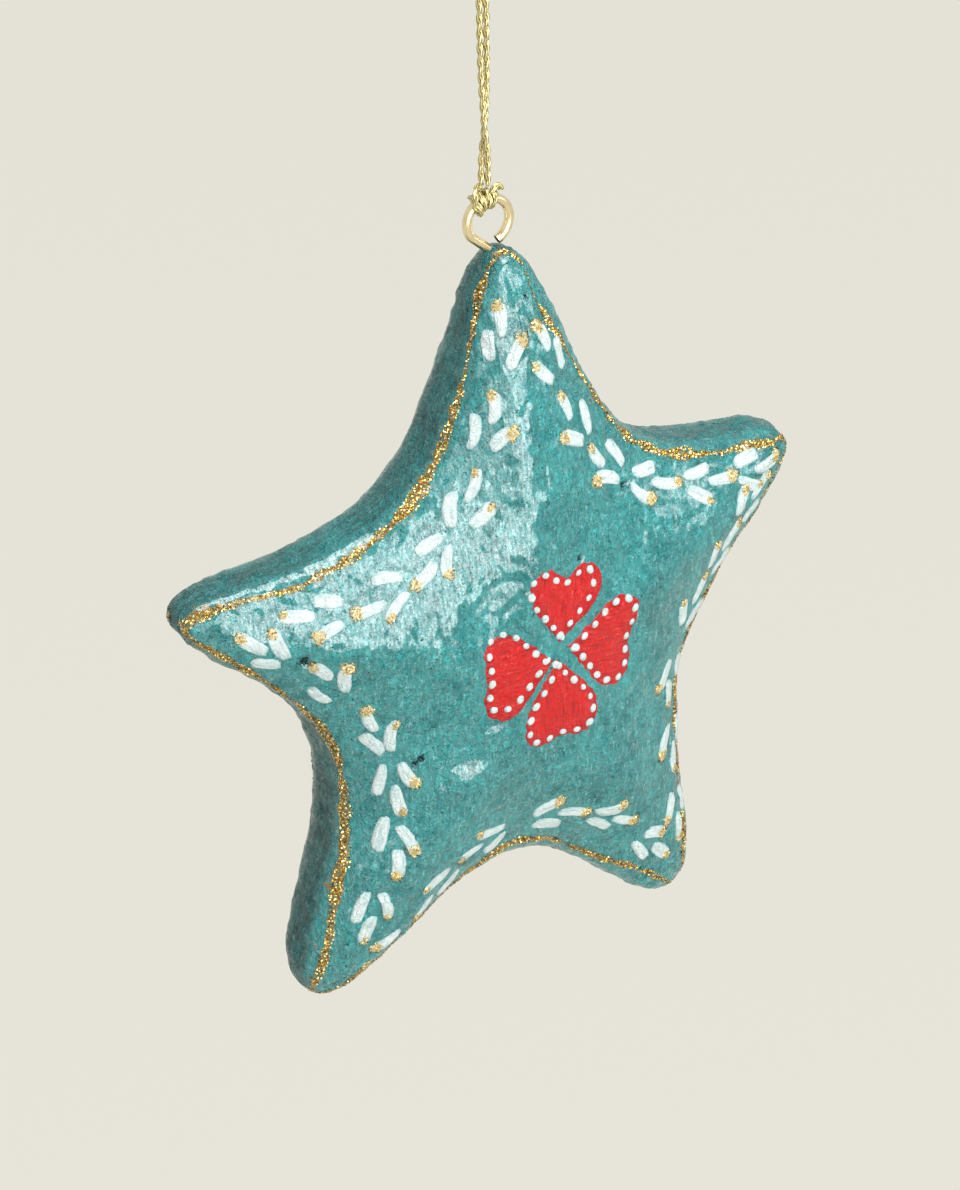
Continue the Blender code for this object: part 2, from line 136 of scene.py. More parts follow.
class NodeTree:
    """A node tree that makes any node in one way."""

    def __init__(self, tree: bpy.types.NodeTree) -> None:
        """Wrap a node tree to build in."""
        self.tree = tree

    def add(self, kind: str, settings: dict[str, Any] | None = None,
            inputs: dict[str | int, Any] | None = None) -> bpy.types.Node:
        """Make a node.

        Args:
            kind: Blender's name of the node's type.
            settings: Properties, set first.
            inputs: Numbers, colours, sockets or values for its sockets, by name or number.

        Returns:
            The new node.
        """
        node = self.tree.nodes.new(kind)
        for name, setting in (settings or {}).items():
            setattr(node, name, setting)
        for key, source in (inputs or {}).items():
            source = source.socket if isinstance(source, Value) else source
            if isinstance(source, bpy.types.NodeSocket):
                self.tree.links.new(source, node.inputs[key])
            else:
                node.inputs[key].default_value = source
        return node

    def number(self, value: float) -> Value:
        """Make a constant for use inside an expression.

        Args:
            value: The constant.

        Returns:
            Its value.
        """
        socket = self.add("ShaderNodeValue").outputs[0]
        socket.default_value = value
        return Value(self, socket)

    def places(self) -> bpy.types.NodeSocket:
        """Object coordinates."""
        return self.add("ShaderNodeTexCoord").outputs["Object"]

    def stretched(self, scale: Triple, turn: Triple = (0, 0, 0),
                  source: bpy.types.NodeSocket | None = None) -> bpy.types.NodeSocket:
        """Coordinates with a scale and a turn.

        Args:
            scale: Scale along each axis.
            turn: Rotation in radians.
            source: Coordinates to change, Object coordinates if none.

        Returns:
            The changed coordinates.
        """
        inputs = {"Vector": source or self.places(), "Scale": scale, "Rotation": turn}
        return self.add("ShaderNodeMapping", None, inputs).outputs["Vector"]

    def grain(self, size: float, detail: float = 3.0, roughness: float = 0.55, distortion: float = 0.0,
              source: bpy.types.NodeSocket | None = None) -> Value:
        """Noise with features of a real size.

        Args:
            size: Size of the largest features in metres, or in the source's own units.
            detail: Octaves of finer noise.
            roughness: Strength of the finer octaves.
            distortion: Warp of the pattern.
            source: Coordinates, Object coordinates if none.

        Returns:
            Noise from 0 to 1.
        """
        inputs = {"Vector": source or self.places(), "Scale": 1.0 / size, "Detail": detail,
                  "Roughness": roughness, "Distortion": distortion}
        return Value(self, self.add("ShaderNodeTexNoise", None, inputs).outputs["Fac"])

    def specks(self, spacing: float, push: float, reach: float, border: float,
               pushed_share: float = 0.35) -> Value:
        """Small ragged specks, scattered evenly.

        Args:
            spacing: Spacing of the specks.
            push: Size of the noise that their borders are pushed about by.
            reach: Radius of a speck in spacings.
            border: Radius where its border ends.
            pushed_share: How far the noise pushes the borders, as a share of its size.

        Returns:
            1 in a speck and 0 between them.
        """
        noise_node = self.add("ShaderNodeTexNoise", None, {"Vector": self.places(), "Scale": 1.0 / push})
        pushed = self.add("ShaderNodeVectorMath", {"operation": "SCALE"},
                          {0: noise_node.outputs["Color"], "Scale": pushed_share * push})
        warped = self.add("ShaderNodeVectorMath", {"operation": "ADD"}, {
            0: self.places(), 1: pushed.outputs[0]})
        cells = self.add("ShaderNodeTexVoronoi", None, {"Vector": warped.outputs[0], "Scale": 1.0 / spacing})
        return 1.0 - Value(self, cells.outputs["Distance"]).step(reach, border)

    def creases(self, size: float, distortion: float = 0.9, narrowness: float = 9.0) -> Value:
        """Height of crinkled paper: flat plates between narrow grooves.

        Args:
            size: Size of the plates.
            distortion: Warp of the grooves.
            narrowness: Steepness of the grooves' sides.

        Returns:
            Height from 0, in a groove, to 1.
        """
        away = (self.grain(size, 3.0, 0.6, distortion) - 0.5).math("ABSOLUTE")
        return (away * narrowness).clamp()

    def seen(self) -> Value:
        """Whether light goes to the camera straight, mirrored or through glass.

        Returns:
            1 for such light and 0 for light that falls on other surfaces.
        """
        rays = self.add("ShaderNodeLightPath")
        straight, mirrored, through = (
            Value(self, rays.outputs[f"Is {kind} Ray"]) for kind in ("Camera", "Glossy", "Transmission"))
        return straight.math("MAXIMUM", mirrored).math("MAXIMUM", through)

    def attribute(self, name: str) -> Value:
        """A number stored on the mesh."""
        return Value(self, self.add("ShaderNodeAttribute", {"attribute_name": name}).outputs["Fac"])

    def vector(self, name: str) -> bpy.types.NodeSocket:
        """A vector stored on the mesh."""
        return self.add("ShaderNodeAttribute", {"attribute_name": name}).outputs["Vector"]

    def mix(self, share: Value, first: Any, second: Any) -> bpy.types.NodeSocket:
        """Mix two colours.

        Args:
            share: Share of the second colour.
            first: Colour or socket.
            second: Colour or socket.

        Returns:
            The mixed colour.
        """
        first, second = ((*end, 1.0) if isinstance(end, tuple) else end for end in (first, second))
        node = self.add("ShaderNodeMix", {"data_type": "RGBA"}, {0: share, 6: first, 7: second})
        return node.outputs[2]

    def bump(self, height: Value, distance: float, strength: float = 1.0,
             below: bpy.types.NodeSocket | None = None) -> bpy.types.NodeSocket:
        """Relief from a height.

        Args:
            height: Height from 0 to 1.
            distance: Real height of the relief.
            strength: Share of the relief that shows.
            below: Normal of a coarser relief under it.

        Returns:
            The changed normal.
        """
        inputs = {"Height": height, "Distance": distance, "Strength": strength}
        if below is not None:
            inputs["Normal"] = below
        return self.add("ShaderNodeBump", None, inputs).outputs["Normal"]


class Finish:
    """A material of one Principled shader. Each kind of finish works out the shader's inputs."""

    name: str

    def inputs(self, tree: NodeTree) -> dict[str, Any]:
        """The shader's inputs by name."""
        raise NotImplementedError

    def surface(self, tree: NodeTree) -> bpy.types.NodeSocket:
        """The whole shader."""
        return tree.add("ShaderNodeBsdfPrincipled", None, self.inputs(tree)).outputs[0]

    def material(self) -> bpy.types.Material:
        """Make the material.

        Returns:
            The material.
        """
        material = bpy.data.materials.new(self.name)
        material.use_nodes = True
        material.node_tree.nodes.clear()
        tree = NodeTree(material.node_tree)
        tree.add("ShaderNodeOutputMaterial", None, {"Surface": self.surface(tree)})
        return material


@dataclass(frozen=True)
class LacqueredPaper(Finish):
    """Teal paint over pasted paper, under a thick brushed lacquer, with painted shade on the side walls and
    in the crease grooves, and painted glints.
    """

    name: str = "lacquered_paper"
    deep: Triple = (0.002, 0.112, 0.116)
    usual: Triple = (0.010, 0.302, 0.302)
    worn: Triple = (0.085, 0.440, 0.440)
    # Painted shade: the darker teal of the side walls.
    wall: Triple = (0.003, 0.062, 0.060)
    # Darker colour of small pits and burst chips.
    pit_dark: Triple = (0.003, 0.020, 0.022)
    # Painted glints: pale teal for small specks and scratch lines that stand for reflections in the lacquer.
    glint_specks: Triple = (0.42, 0.66, 0.64)
    gilded: Triple = (0.19, 0.125, 0.026)
    brush_scale: Triple = (2900.0, 1200.0, 420.0)
    brush_turn: Triple = (0.0, radians(-42), 0.0)
    streak_scale: Triple = (130.0, 130.0, 1300.0)
    cloud_size: float = 8.0 * MM
    crinkle_size: float = 2.6 * MM
    crease_size: float = 1.25 * MM
    fibre_size: float = 0.85 * MM
    scuff_size: float = 0.62 * MM
    torn_size: float = 0.45 * MM
    glint_spacing: float = 1.7 * MM
    pore_spacing: float = 1.9 * MM
    coat_crease_size: float = 0.60 * MM
    coat_ior: float = 2.14
    smoothest: float = 0.10

    def inputs(self, tree: NodeTree) -> dict[str, Any]:
        """Shader inputs of the paint and its lacquer.

        Args:
            tree: Tree to build in.

        Returns:
            Inputs by name.
        """
        clouds = tree.grain(self.cloud_size, 4.0, 0.6)
        crinkle = tree.grain(self.crinkle_size, 3.0, 0.6, 0.8)
        fibre = tree.grain(self.fibre_size, 4.0, 0.62, 0.8)
        creases = tree.creases(self.crease_size)
        brushed = tree.grain(1.0, 4.0, 0.6, 0.4, tree.stretched(self.brush_scale, self.brush_turn))
        scuffs = tree.grain(self.scuff_size, 4.0, 0.65, 1.6)
        along = tree.stretched(self.streak_scale, source=tree.vector("flow"))
        streaks = tree.grain(1.0, 5.0, 0.65, 0.5, along)
        wall = tree.attribute("wall")
        torn = tree.grain(self.torn_size, 4.0, 0.7, 1.2)
        chipped = (tree.attribute("chipped") + (torn - 0.5) * 3.0 + (creases - 0.7) * 0.8).step(0.38, 0.54)

        shade = (clouds.step(0.35, 0.68) * 0.35 + crinkle.step(0.40, 0.60) * 0.35
                 + scuffs.step(0.36, 0.56) * 0.5)
        colour = tree.mix(shade.clamp(), self.deep, self.usual)
        rubbed = fibre.step(0.50, 0.68) * (0.30 + brushed.step(0.45, 0.62) * 0.5)
        colour = tree.mix(rubbed, colour, self.worn)
        # Painted shade in the crease grooves, which also stand for dark cracks in the paint.
        colour = tree.mix((1.0 - creases) * 0.45, colour, self.deep)
        # Painted shade makes the side walls darker all over; the darker brush streaks on them are their own.
        colour = tree.mix(wall * (0.18 + streaks.step(0.45, 0.60) * 0.56), colour, self.wall)
        colour = tree.mix(wall * streaks.step(0.58, 0.70) * 0.5, colour, self.worn)
        # Painted glints: pale specks, and pale lines where brush marks and scuffs cross, stand for small
        # reflections in the lacquer.
        glint_specks = tree.specks(self.glint_spacing, 0.5 * MM, 0.05, 0.09) * fibre.step(0.42, 0.58) * 0.6
        scratch_glints = brushed.step(0.56, 0.70) * scuffs.step(0.46, 0.60) * 0.40
        colour = tree.mix(glint_specks.math("MAXIMUM", scratch_glints), colour, self.glint_specks)
        # Darker colour in small pits and in the burst chips.
        pores = tree.specks(self.pore_spacing, 0.8 * MM, 0.05, 0.12) * clouds.step(0.52, 0.62) * 0.7
        colour = tree.mix(pores.math("MAXIMUM", chipped), colour, self.pit_dark)
        glue = tree.attribute("gilding") * 0.8 + (fibre - 0.5) * 2.2 + (crinkle - 0.5)
        colour = tree.mix(glue.step(0.50, 0.70), colour, self.gilded)

        gloss = scuffs.step(0.27, 0.47) * (0.52 + brushed.step(0.40, 0.56) * 0.55)
        gloss = gloss * (0.50 + crinkle.step(0.34, 0.47) * 0.60) * (1.0 - wall * 0.6) * (1.0 - chipped)
        gloss = gloss * (0.36 + tree.creases(self.coat_crease_size, narrowness=5.0) * 0.80)
        normal = tree.bump(crinkle, 0.26 * MM)
        normal = tree.bump(streaks * wall, 0.60 * MM, 1.0, normal)
        normal = tree.bump(creases, 0.16 * MM, 1.0, normal)
        normal = tree.bump(fibre, 0.14 * MM, 1.0, normal)
        normal = tree.bump(brushed, 0.05 * MM, 0.8, normal)
        return {
            "Base Color": colour,
            "Roughness": (self.smoothest + fibre * 0.10 + wall * 0.10 + chipped * 0.3).clamp(),
            "Specular IOR Level": 0.25,
            "Coat Weight": gloss.clamp(),
            "Coat IOR": self.coat_ior,
            "Coat Roughness": self.smoothest,
            "Normal": normal,
        }


@dataclass(frozen=True)
class BrushPaint(Finish):
    """Thick poster paint put on with a small brush, under the lacquer, with painted highlight streaks along
    the bristle marks.
    """

    name: str
    colour: Triple
    thin: Triple
    # Painted highlight: the paler colour of streaks along the bristle marks.
    painted_shine: Triple
    thin_share: float
    edge_share: float
    bristle_scale: Triple = (330.0, 2600.0, 1.0)

    def inputs(self, tree: NodeTree) -> dict[str, Any]:
        """Shader inputs of the paint.

        Args:
            tree: Tree to build in.

        Returns:
            Inputs by name.
        """
        along = tree.stretched(self.bristle_scale, source=tree.vector("stroke"))
        bristles = tree.grain(1.0, 3.0, 0.55, 0.3, along)
        crinkle = tree.grain(0.95 * MM, 4.0, 0.62, 0.8)
        fibre = tree.grain(0.4 * MM, 3.0)
        worn = (tree.attribute("edge").step(0.60, 1.0) * self.edge_share
                + bristles.step(0.48, 0.72) * self.thin_share + fibre.step(0.60, 0.75) * 0.2)
        colour = tree.mix(worn.clamp(), self.colour, self.thin)
        # Painted highlight: paler streaks in the low bristle marks stand for glints on the paint.
        shine_streaks = (1.0 - bristles.step(0.30, 0.42)) * fibre.step(0.40, 0.60) * 0.7
        normal = tree.bump(tree.creases(1.25 * MM), 0.10 * MM)
        normal = tree.bump(crinkle, 0.10 * MM, 1.0, normal)
        return {
            "Base Color": tree.mix(shine_streaks, colour, self.painted_shine),
            "Roughness": (0.12 + crinkle * 0.16).clamp(),
            "Specular IOR Level": 0.28,
            "Coat Weight": (fibre.step(0.42, 0.60) * 0.3).clamp(),
            "Coat IOR": 1.6,
            "Coat Roughness": 0.12,
            "Normal": tree.bump(bristles, 0.035 * MM, 0.9, normal),
        }


@dataclass(frozen=True)
class GlueDab(Finish):
    """Amber glue that holds a dab of glitter."""

    name: str = "glitter_glue"
    amber: Triple = (0.36, 0.24, 0.045)
    thin: Triple = (0.58, 0.55, 0.34)

    def inputs(self, tree: NodeTree) -> dict[str, Any]:
        """Shader inputs of the glue.

        Args:
            tree: Tree to build in.

        Returns:
            Inputs by name.
        """
        grit = tree.grain(0.35 * MM, 3.0)
        edge = tree.attribute("edge")
        thinned = (0.15 + edge.step(0.20, 0.9) * 0.7 + grit.step(0.42, 0.60) * 0.6).clamp()
        return {
            "Base Color": tree.mix(thinned, self.amber, self.thin),
            "Roughness": (0.30 + grit * 0.2).clamp(),
            "Coat Weight": 0.6,
            "Alpha": (1.25 - edge * 0.95 + (grit - 0.5) * 2.6).step(0.40, 0.62),
            "Normal": tree.bump(grit, 0.30 * MM),
        }


@dataclass(frozen=True)
class GlitterFlakes(Finish):
    """Gold foil flakes of amber, some paler as painted glints and some browner as painted dark reflections.
    """

    name: str = "gold_glitter"
    # Painted glints and painted dark reflections: pale and brown flakes at random among the amber ones.
    pale: Triple = (0.88, 0.72, 0.38)
    amber: Triple = (0.68, 0.40, 0.05)
    brown: Triple = (0.26, 0.155, 0.025)

    def inputs(self, tree: NodeTree) -> dict[str, Any]:
        """Shader inputs of the foil.

        Args:
            tree: Tree to build in.

        Returns:
            Inputs by name.
        """
        # At random, flakes turn brown as painted dark reflections and pale as painted glints.
        tint = tree.grain(0.30 * MM, 0.0)
        colour = tree.mix(tint.step(0.32, 0.44), self.brown, self.amber)
        return {
            "Base Color": tree.mix(tint.step(0.50, 0.62), colour, self.pale),
            "Metallic": 1.0,
            "Roughness": (0.16 + tint * 0.2).clamp(),
        }


@dataclass(frozen=True)
class BrassWire(Finish):
    """Bright brass plating with drawing lines and a little dulling."""

    name: str = "bright_brass"
    bright: Triple = (0.88, 0.74, 0.47)
    dull: Triple = (0.60, 0.44, 0.20)
    cut: Triple = (0.10, 0.085, 0.07)

    def inputs(self, tree: NodeTree) -> dict[str, Any]:
        """Shader inputs of the plating.

        Args:
            tree: Tree to build in.

        Returns:
            Inputs by name.
        """
        smudge = tree.grain(1.6 * MM, 3.0)
        lines = tree.grain(0.12 * MM, 2.0, 0.5)
        sheared = tree.attribute("cut_end").step(0.4, 0.6)
        colour = tree.mix(smudge.step(0.48, 0.75) * 0.6, self.bright, self.dull)
        return {
            "Base Color": tree.mix(sheared, colour, self.cut),
            "Metallic": 1.0,
            "Roughness": (0.12 + smudge * 0.14 + sheared * 0.4).clamp(),
            "Normal": tree.bump(lines, 0.012 * MM, 0.5),
        }


@dataclass(frozen=True)
class GoldThread(Finish):
    """Flat metallic yarn wound on each ply of the cord."""

    name: str = "gold_thread"
    light: Triple = (0.80, 0.70, 0.36)
    dark: Triple = (0.14, 0.105, 0.024)
    yarns_around: float = 5.0
    yarn_pitch: float = 1.5 * MM

    def inputs(self, tree: NodeTree) -> dict[str, Any]:
        """Shader inputs of the yarn.

        Args:
            tree: Tree to build in.

        Returns:
            Inputs by name.
        """
        split = tree.add("ShaderNodeSeparateXYZ", None, {0: tree.add("ShaderNodeUVMap").outputs[0]})
        along = Value(tree, split.outputs["X"]) * (MM / self.yarn_pitch)
        around = Value(tree, split.outputs["Y"]) * self.yarns_around
        yarn = (along + around).math("FRACT").math("PINGPONG", 0.5) * 2.0
        fray = tree.grain(0.25 * MM, 3.0)
        groove = (1.0 - yarn.step(0.10, 0.60)) * 0.9
        shadow = (groove + fray.step(0.52, 0.8) * 0.35).clamp()
        return {
            "Base Color": tree.mix(shadow, self.light, self.dark),
            "Metallic": 0.85,
            "Roughness": (0.26 + groove * 0.2 + fray * 0.12).clamp(),
            "Normal": tree.bump(yarn * 0.8 + fray * 0.2, 0.07 * MM, 0.9),
        }


@dataclass(frozen=True)
class BarePaper(Finish):
    """Pasted grey-brown paper of the strip inside the joint."""

    name: str = "bare_paper"
    pale: Triple = (0.62, 0.56, 0.45)
    printed: Triple = (0.40, 0.36, 0.30)

    def inputs(self, tree: NodeTree) -> dict[str, Any]:
        """Shader inputs of the paper.

        Args:
            tree: Tree to build in.

        Returns:
            Inputs by name.
        """
        pulp = tree.grain(0.8 * MM, 5.0)
        return {
            "Base Color": tree.mix(pulp.step(0.45, 0.7), self.pale, self.printed),
            "Roughness": (0.78 + pulp * 0.15).clamp(),
            "Normal": tree.bump(pulp, 0.12 * MM, 0.8),
        }


@dataclass(frozen=True)
class Softwood(Finish):
    """Planed softwood of the plug, with its grain upright."""

    name: str = "softwood"
    early: Triple = (0.62, 0.44, 0.26)
    late: Triple = (0.38, 0.23, 0.11)
    ring_scale: Triple = (900.0, 900.0, 60.0)
    pore_scale: Triple = (5200.0, 5200.0, 500.0)

    def inputs(self, tree: NodeTree) -> dict[str, Any]:
        """Shader inputs of the wood.

        Args:
            tree: Tree to build in.

        Returns:
            Inputs by name.
        """
        rings = tree.grain(1.0, 3.0, 0.5, 1.2, tree.stretched(self.ring_scale))
        pores = tree.grain(1.0, 2.0, 0.5, 0.0, tree.stretched(self.pore_scale))
        return {
            "Base Color": tree.mix(rings.step(0.4, 0.65), self.early, self.late),
            "Roughness": (0.55 + pores * 0.25).clamp(),
            "Normal": tree.bump(rings * 0.6 + pores * 0.4, 0.06 * MM, 0.7),
        }


@dataclass(frozen=True)
class PaleBackdrop(Finish):
    """Warm pale ground that shows evenly and still takes a shadow."""

    name: str = "pale_backdrop"
    colour: Triple = (0.803, 0.786, 0.697)
    shaded: Triple = (0.76, 0.745, 0.66)
    glow_share: float = 0.93

    def surface(self, tree: NodeTree) -> bpy.types.NodeSocket:
        """Mix of a matt ground, and of light from it that only the camera sees.

        Args:
            tree: Tree to build in.

        Returns:
            The whole shader.
        """
        colour = tree.mix(tree.grain(0.5, 1.0) * 0.06, self.colour, self.shaded)
        matt = tree.add("ShaderNodeBsdfPrincipled", None, {"Base Color": colour, "Roughness": 0.9})
        glow = tree.add("ShaderNodeEmission", None, {"Color": colour, "Strength": 1.0})
        shaders = {0: tree.seen() * self.glow_share, 1: matt.outputs[0], 2: glow.outputs[0]}
        return tree.add("ShaderNodeMixShader", None, shaders).outputs[0]


def new_piece(name: str, vertices: Sequence, faces: Sequence, material: bpy.types.Material,
              attributes: dict[str, Sequence] | None = None) -> bpy.types.Object:
    """Make a smooth mesh object at the origin.

    Args:
        name: Piece's name.
        vertices: Its points.
        faces: Vertex numbers of each face.
        material: Its finish.
        attributes: A number or a vector for each vertex, by name.

    Returns:
        The object.
    """
    mesh = bpy.data.meshes.new(name)
    mesh.from_pydata([tuple(point) for point in vertices], [], [tuple(face) for face in faces])
    mesh.shade_smooth()
    mesh.materials.append(material)
    for key, numbers in (attributes or {}).items():
        table = np.asarray(numbers, np.float32)
        kind, field_name = ("FLOAT_VECTOR", "vector") if table.ndim == 2 else ("FLOAT", "value")
        mesh.attributes.new(key, kind, "POINT").data.foreach_set(field_name, table.ravel())
    return place_object(name, mesh)


def place_object(name: str, data: bpy.types.ID) -> bpy.types.Object:
    """Make an object and put it in the scene.

    Args:
        name: Object's name.
        data: Its mesh, lamp or camera.

    Returns:
        The object.
    """
    thing = bpy.data.objects.new(name, data)
    bpy.context.scene.collection.objects.link(thing)
    return thing


def report(piece: bpy.types.Object) -> None:
    """Log a finished piece and its number of faces."""
    LOG.info("%s: %d faces", piece.name, len(piece.data.polygons))


def direction(angle: float) -> Vector:
    """Unit vector in the star's plane, from +X towards +Z in degrees."""
    return Vector((cos(radians(angle)), 0.0, sin(radians(angle))))


def view_from(azimuth: float, elevation: float) -> Vector:
    """Unit vector to a place round the star, from its front towards its right and up, in degrees."""
    around, up = radians(azimuth), radians(elevation)
    return Vector((sin(around) * cos(up), -cos(around) * cos(up), sin(up)))


def lengths_along(line: np.ndarray) -> np.ndarray:
    """Length along a polyline up to each of its points."""
    return np.concatenate([[0.0], np.cumsum(np.linalg.norm(np.diff(line, axis=0), axis=1))])


def curve_point(before: Any, start: Any, end: Any, after: Any, t: float) -> Any:
    """Point of a smooth curve that goes through four points, between the middle two.

    Args:
        before: Point or coordinate before the start.
        start: Where t is 0.
        end: Where t is 1.
        after: Point after the end.
        t: Share of the way.

    Returns:
        The point or coordinate.
    """
    return 0.5 * (2 * start + (end - before) * t + (2 * before - 5 * start + 4 * end - after) * t ** 2
                  + (3 * start - before - 3 * end + after) * t ** 3)


@dataclass(frozen=True)
class Arm:
    """An arm of the hand-made star and the valley after it: angles, and shares of the usual sizes."""

    angle: float
    reach: float
    tip: float
    valley_angle: float
    valley_reach: float


@dataclass(frozen=True)
class Row:
    """A row of the star's form: its share of the outline, and distances and depths at tip and valley."""

    share: float
    tip_inset: float
    valley_inset: float
    tip_depth: float
    valley_depth: float


@dataclass(frozen=True)
class Chip:
    """A burst bubble in the paper: place from the star's centre and radius, in millimetres."""

    x: float
    z: float
    radius: float


@dataclass(frozen=True)
class Relief:
    """Unevenness of pasted paper: lumps, creases along torn edges, and burst bubbles."""

    lump_size: float = 9.0 * MM
    lump_height: float = 0.40 * MM
    calm_share: float = 0.36
    wall_share: float = 1.35
    tip_share: float = 0.6
    calm_reach: float = 26.0 * MM
    crease_size: float = 3.4 * MM
    crease_height: float = 0.24 * MM
    grain_size: float = 1.7 * MM
    grain_height: float = 0.20 * MM
    chip_depth: float = 0.7 * MM
    chip_raggedness: float = 0.5
    chip_grain: float = 0.7 * MM
    collar_radius: float = 2.3 * MM
    collar_height: float = 1.1 * MM
    collar_stretch: float = 0.6
    chips: tuple[Chip, ...] = (
        Chip(-35.9, 9.4, 0.95),
        Chip(-34.9, 8.7, 0.7),
        Chip(-19.7, -11.0, 0.7),
        Chip(-18.9, -10.1, 0.6),
        Chip(16.6, 23.1, 0.65),
        Chip(6.9, 15.4, 0.6),
        Chip(1.4, -28.2, 0.65),
        Chip(2.9, 54.6, 0.6),
    )

    def height(self, point: Vector, edge: float, centre: Vector) -> float:
        """Height of the paper over the smooth form, which is calmer on the middle of the front.

        Args:
            point: Place on the smooth form.
            edge: Share of the way from the front or rear to the side walls.
            centre: Middle of the star.

        Returns:
            Height in metres.
        """
        reach = (point - centre).length
        tip = self.tip_share * min(1.0, max(0.0, (reach - self.calm_reach) / self.calm_reach))
        roughness = self.calm_share + (self.wall_share - self.calm_share) * max(edge, tip)
        lump = noise.noise(point / self.lump_size)
        crease = noise.ridged_multi_fractal(point / self.crease_size, 0.9, 2.1, 3, 1.0, 1.6) - 1.0
        grain = noise.noise(point / self.grain_size)
        return lump * self.lump_height + roughness * (crease * self.crease_height + grain * self.grain_height)

    def chipped(self, point: Vector, centre: Vector) -> float:
        """Share of a chip's depth at a place on the front.

        Args:
            point: Place on the smooth form.
            centre: Star's centre.

        Returns:
            Share from 0 to 1.
        """
        if point.y > centre.y:
            return 0.0
        ragged = 1.0 + self.chip_raggedness * noise.noise(point / self.chip_grain)
        share = 0.0
        for chip in self.chips:
            away = hypot(point.x - centre.x - chip.x * MM, point.z - centre.z - chip.z * MM)
            share = max(share, 1.0 - (away * ragged / (chip.radius * MM)) ** 2)
        return share

    def collar(self, point: Vector, top: float) -> float:
        """Height of the paper pasted up round the wire, which stands on the Z axis.

        Args:
            point: Place on the smooth form.
            top: Height of the star's tip.

        Returns:
            Height in metres.
        """
        away = hypot(point.x, point.y, (point.z - top) * self.collar_stretch) / self.collar_radius
        return self.collar_height * max(0.0, 1.0 - away * away) ** 2


